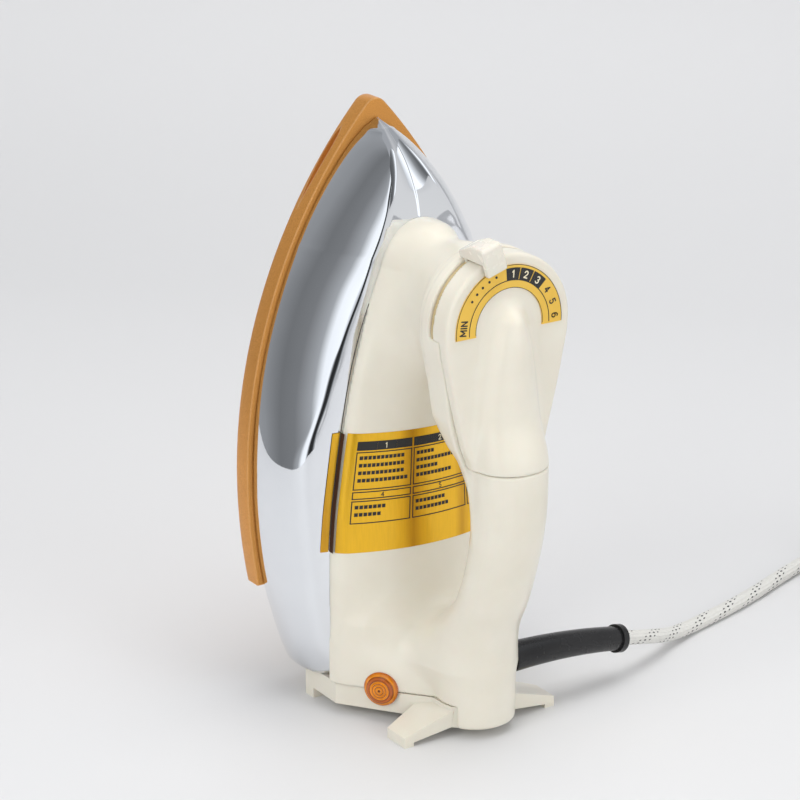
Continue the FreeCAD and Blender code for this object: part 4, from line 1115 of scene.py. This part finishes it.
def make_dial_print():
    ink, pale = Print(), Print()
    ink.add(arc_band(-93, 93, 18.3, 18.65))
    ink.add(arc_band(-93.5, 93.5, 24.25, 24.5))
    ink.add(arc_band(-93.5, 93.5, 15.4, 15.6))
    ink.add(upright(glyphs("MIN", 2.7, 0.1), -82.5, 21.2))
    for turn in (-53.5, -44.5, -35.5, -26.2, -16.9):
        disc = [polar(t * 30, 0.55) for t in range(12)]
        disc = [(y, z - HEAD_Z) for y, z in disc]
        ink.add(upright((disc, [tuple(range(12))]), turn, 21.5))
    for number, start, end in ((1, -4.4, 12.0), (2, 13.0, 28.7), (3, 29.7, 46.2)):
        ink.add(arc_band(start, end, 18.6, 23.3))
        pale.add(upright(glyphs(str(number), 2.6, 0.1), (start + end) / 2, 20.9))
    for number, turn in ((4, 55.5), (5, 71.0), (6, 87.0)):
        ink.add(upright(glyphs(str(number), 2.6, 0.1), turn, 21.2))
    on_dial(ink, "dial_ink", ink_black, 0.04)
    on_dial(pale, "dial_numbers", pale_print, 0.12)


make_label()
make_seam()
make_label_print()
make_dial_print()


# ---------------------------------------------------------------- pilot lamp
def make_lamp():
    """Amber lens with moulded rings, turned about the wall's normal."""
    profile = [(7.25, 0.05), (7.25, 0.9), (7.0, 1.25), (6.4, 1.5), (6.0, 1.6), (5.8, 2.2), (5.2, 2.5)]
    for n in range(4):
        r = 4.7 - 1.15 * n
        profile += [(r, 2.45 + 0.1 * n), (r - 0.35, 2.8 + 0.1 * n), (r - 0.75, 2.8 + 0.1 * n)]
    profile += [(0.55, 2.7), (0.0, 2.9)]
    side = np.cross([0, 0, 1.0], LAMP_WAY)
    up = np.array([0, 0, 1.0])
    count = 56
    points = []
    for r, out in profile:
        for t in np.linspace(0, 2 * math.pi, count, endpoint=False):
            points.append(LAMP_PLACE + LAMP_WAY * out + (side * math.cos(t) + up * math.sin(t)) * r)
    faces = lathe_faces(len(profile), count)
    lens = new_piece("lamp_glass", points, faces, amber, smooth=False)
    merge_close(lens)
    fix_normals(lens)
    smooth_by_angle(lens, 24)
    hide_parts("lamp_lens")


make_lamp()


# ---------------------------------------------------------------- lever's disc
def make_disc():
    """The beige disc whose rim shows in the slot."""
    profile = [(3.1, 90.9), (27.4, 90.9), (27.9, 91.3), (27.9, 92.7), (27.4, 93.1), (3.1, 93.1)]
    count = 128
    points = [
        (x, r * math.sin(t), HEAD_Z + r * math.cos(t))
        for r, x in profile
        for t in np.linspace(0, 2 * math.pi, count, endpoint=False)
    ]
    faces = [
        (i * count + j, i * count + (j + 1) % count, k * count + (j + 1) % count, k * count + j)
        for i, k in zip(range(6), (1, 2, 3, 4, 5, 0))
        for j in range(count)
    ]
    disc = new_piece(
        "lever_rim", points, faces, beige, body="temperature_control",
        smooth=False,
    )
    fix_normals(disc)
    smooth_by_angle(disc, 30)
    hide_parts("lever_disc")


make_disc()


# ---------------------------------------------------------------- softened copies
def softened(node, name, width, material, angle=28, body="iron"):
    """A copy of a CAD shape with its sharp edges rolled over, which stands for the node."""
    mesh = NODES[node].data.copy()
    mesh.name = name
    mesh.materials.clear()
    mesh.materials.append(material)
    obj = bpy.data.objects.new(name, mesh)
    bpy.context.scene.collection.objects.link(obj)
    work = bmesh.new()
    work.from_mesh(mesh)
    bmesh.ops.remove_doubles(work, verts=work.verts, dist=1e-6)
    bmesh.ops.dissolve_limit(
        work, angle_limit=math.radians(1.0), verts=work.verts, edges=work.edges
    )
    work.to_mesh(mesh)
    work.free()
    bevel = obj.modifiers.new("rolled", "BEVEL")
    bevel.width = width * MM
    bevel.segments = 3
    bevel.limit_method = "ANGLE"
    bevel.angle_limit = math.radians(angle)
    bevel.harden_normals = False
    smooth_by_angle(obj, 40)
    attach(obj, body)
    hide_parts(node)


softened("temperature_lever", "lever_tab", 0.7, lever_cream, body="temperature_control")
softened("heel_cover", "heel_moulding", 0.5, cream)


# ---------------------------------------------------------------- cord
CORD_RADIUS = 3.05
CORD_ROUTE = [
    (0.0235, 0.006, 0.0255), (0.0235, 0.026, 0.0254), (0.0231, 0.045, 0.0240),
    (0.0221, 0.0625, 0.0214), (0.0199, 0.0795, 0.0174), (0.0151, 0.0960, 0.0122),
    (0.0075, 0.1115, 0.0062), (0.0009, 0.1275, 0.0031), (-0.0033, 0.1440, 0.0031),
    (-0.0079, 0.1610, 0.0031), (-0.0135, 0.1780, 0.0031), (-0.0201, 0.1950, 0.0031),
    (-0.0265, 0.2130, 0.0031), (-0.0321, 0.2310, 0.0031),
]
TAIL_ROUTE = [
    (0.0376, 0.2660, 0.0096), (0.0382, 0.2580, 0.0096), (0.0390, 0.2500, 0.0095),
    (0.0403, 0.2430, 0.0092), (0.0429, 0.2355, 0.0091), (0.0449, 0.2299, 0.0091),
]
COIL_CENTRE = (-0.00156, 0.26213)
COIL_START, COIL_TURNS, TURN_POINTS = math.radians(199.6), 7.5, 20
# where each turn lies in the coil: distance from its centre and height
COIL_PLACES = [
    (39.45, 3.1), (33.0, 3.1), (26.6, 3.1), (26.6, 9.55),
    (26.6, 16.0), (33.0, 16.0), (33.0, 9.55), (39.45, 9.55),
]
COIL_LEADS = [0, 0, 27, 27, 54, 81, 108]


def coil_place(turned):
    """Radius and height of the cord after so many degrees of the coil."""
    radius, height = COIL_PLACES[0]
    for n, lead in enumerate(COIL_LEADS):
        share = np.clip((turned - (360 * (n + 1) - lead)) / 120 + 0.5, 0, 1)
        share = (1 - math.cos(math.pi * share)) / 2
        radius += share * (COIL_PLACES[n + 1][0] - COIL_PLACES[n][0])
        height += share * (COIL_PLACES[n + 1][1] - COIL_PLACES[n][1])
    return radius * MM, height * MM


def cord_route():
    points = list(CORD_ROUTE)
    steps = round(COIL_TURNS * TURN_POINTS)
    for n in range(steps + 1):
        radius, height = coil_place(n * 360 / TURN_POINTS)
        angle = COIL_START - math.radians(n * 360 / TURN_POINTS)
        across, along = radius * math.cos(angle), radius * math.sin(angle)
        points.append((COIL_CENTRE[0] + across, COIL_CENTRE[1] + along, height))
    return points + TAIL_ROUTE


def make_cord():
    data = bpy.data.curves.new("mains_cord", "CURVE")
    data.dimensions = "3D"
    spline = data.splines.new("NURBS")
    route = cord_route()
    spline.points.add(len(route) - 1)
    for point, place in zip(spline.points, route):
        point.co = (*place, 1.0)
    spline.order_u = 3
    spline.use_endpoint_u = True
    spline.resolution_u = 6
    data.bevel_depth = CORD_RADIUS * MM
    data.bevel_resolution = 6
    data.use_fill_caps = True
    cord = bpy.data.objects.new("mains_cord", data)
    bpy.context.scene.collection.objects.link(cord)
    data.materials.append(braid)
    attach(cord, "iron")
    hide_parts("cord", "cord_coil", "cord_tail")


make_cord()


# ---------------------------------------------------------------- stage
def stage_material(name, value):
    return surface(name, (value, value, value * 1.005), (value, value, value * 1.005), (0.55, 0.6))


def make_stage():
    """A pale floor that sweeps up behind into a pale wall."""
    across, deep, high, bend = 6.0, 3.0, 3.0, 1.2
    away = Vector((-0.80, 0.60, 0.0)).normalized()
    side = Vector((away.y, -away.x, 0.0))
    profile = [(-4.0, 0.0)] + [
        (deep - bend + bend * math.sin(t), bend - bend * math.cos(t))
        for t in np.linspace(0, math.pi / 2, 24)
    ] + [(deep, high)]
    verts, faces = [], []
    for along, up in profile:
        for edge in (-across, across):
            place = away * along + side * edge
            verts.append((place.x, place.y, up))
    for n in range(len(profile) - 1):
        faces.append((2 * n, 2 * n + 1, 2 * n + 3, 2 * n + 2))
    mesh = bpy.data.meshes.new("sweep")
    mesh.from_pydata(verts, [], faces)
    mesh.shade_smooth()
    mesh.materials.append(stage_material("sweep", 0.77))
    sweep = bpy.data.objects.new("sweep", mesh)
    bpy.context.scene.collection.objects.link(sweep)


def area_light(name, place, target, size, power):
    """A soft square light that polished pieces do not mirror."""
    data = bpy.data.lights.new(name, "AREA")
    data.energy = power
    data.shape = "SQUARE"
    data.size = size
    light = bpy.data.objects.new(name, data)
    light.location = place
    way = Vector(target) - Vector(place)
    light.rotation_euler = way.to_track_quat("-Z", "Y").to_euler()
    light.visible_glossy = False
    bpy.context.scene.collection.objects.link(light)


def card(name, corners, stops):
    """A glowing studio card seen only in reflections, shaded from its first corner on."""
    mesh = bpy.data.meshes.new(name)
    mesh.from_pydata(corners, [], [(0, 1, 2, 3)])
    layer = mesh.uv_layers.new(name="UVMap")
    for loop, place in zip(layer.data, ((0, 0), (1, 0), (1, 1), (0, 1))):
        loop.uv = place
    material, tree, shader = new_material(name)
    tree.nodes.remove(shader)
    glow = add(tree, "ShaderNodeEmission")
    along = parts_of(tree, add(tree, "ShaderNodeUVMap").outputs["UV"])["X"]
    shade = ramp(tree, along, [(at, (v, v * 1.03, v * 1.07)) for at, v in stops])
    tree.links.new(shade, glow.inputs["Color"])
    tree.links.new(glow.outputs["Emission"], tree.nodes["Material Output"].inputs["Surface"])
    mesh.materials.append(material)
    obj = bpy.data.objects.new(name, mesh)
    bpy.context.scene.collection.objects.link(obj)
    obj.visible_camera = obj.visible_diffuse = obj.visible_shadow = False
    obj.visible_transmission = False


def make_lights():
    world = bpy.data.worlds.new("studio")
    world.use_nodes = True
    tree = world.node_tree
    shade = tree.nodes["Background"]
    up = parts_of(tree, add(tree, "ShaderNodeTexCoord").outputs["Generated"])["Z"]
    tree.links.new(
        ramp(tree, up, [(0.0, (0.79, 0.79, 0.79)), (0.4, (0.77, 0.77, 0.775)),
                                        (0.9, (0.42, 0.43, 0.45))]),
        shade.inputs["Color"],
    )
    shade.inputs["Strength"].default_value = 0.98
    bpy.context.scene.world = world
    area_light("key", (0.35, -1.15, 1.0), (0.0, 0.0, 0.12), 0.7, 5.5)
    area_light("top", (0.10, 0.15, 1.5), (0.0, 0.0, 0.0), 0.9, 10.0)
    area_light("front", (1.5, 0.5, 0.7), (0.0, 0.0, 0.1), 0.8, 4.0)
    area_light("wall", (-1.0, 0.6, 1.6), (-2.2, 1.7, 1.0), 1.5, 14.0)
    card(
        "dark_left", [(-1.6, -0.34, 0.0), (0.40, -0.47, 0.0), (0.40, -0.47, 2.6), (-1.6, -0.34, 2.6)],
        [(0.0, 0.26), (0.4, 0.38), (0.62, 0.30), (0.72, 0.19), (0.79, 0.22), (0.86, 0.42),
         (0.895, 1.05), (0.95, 1.15), (0.985, 0.1)],
    )
    card(
        "dark_front", [(0.40, -0.47, 0.0), (0.60, -0.37, 0.0), (0.60, -0.37, 2.6), (0.40, -0.47, 2.6)],
        [(0.0, 0.02), (0.55, 0.04), (1.0, 0.6)],
    )
    card(
        "soft_top", [(0.0, -0.5, 1.3), (0.0, 1.4, 1.3), (1.6, 1.4, 1.3), (1.6, -0.5, 1.3)],
        [(0.0, 0.10), (0.3, 0.16), (0.42, 0.3), (0.56, 0.8), (0.68, 1.35), (0.82, 1.1), (1.0, 0.6)],
    )


def make_camera():
    data = bpy.data.cameras.new("camera")
    data.lens = 130.94
    data.sensor_width = 36.0
    camera = bpy.data.objects.new("camera", data)
    camera.location = (0.9017, -0.61123, 0.5161)
    camera.rotation_euler = (math.radians(70.59), 0.0, math.radians(56.8))
    bpy.context.scene.collection.objects.link(camera)
    bpy.context.scene.camera = camera


make_stage()
make_lights()
make_camera()
bpy.context.scene.view_settings.view_transform = "Standard"
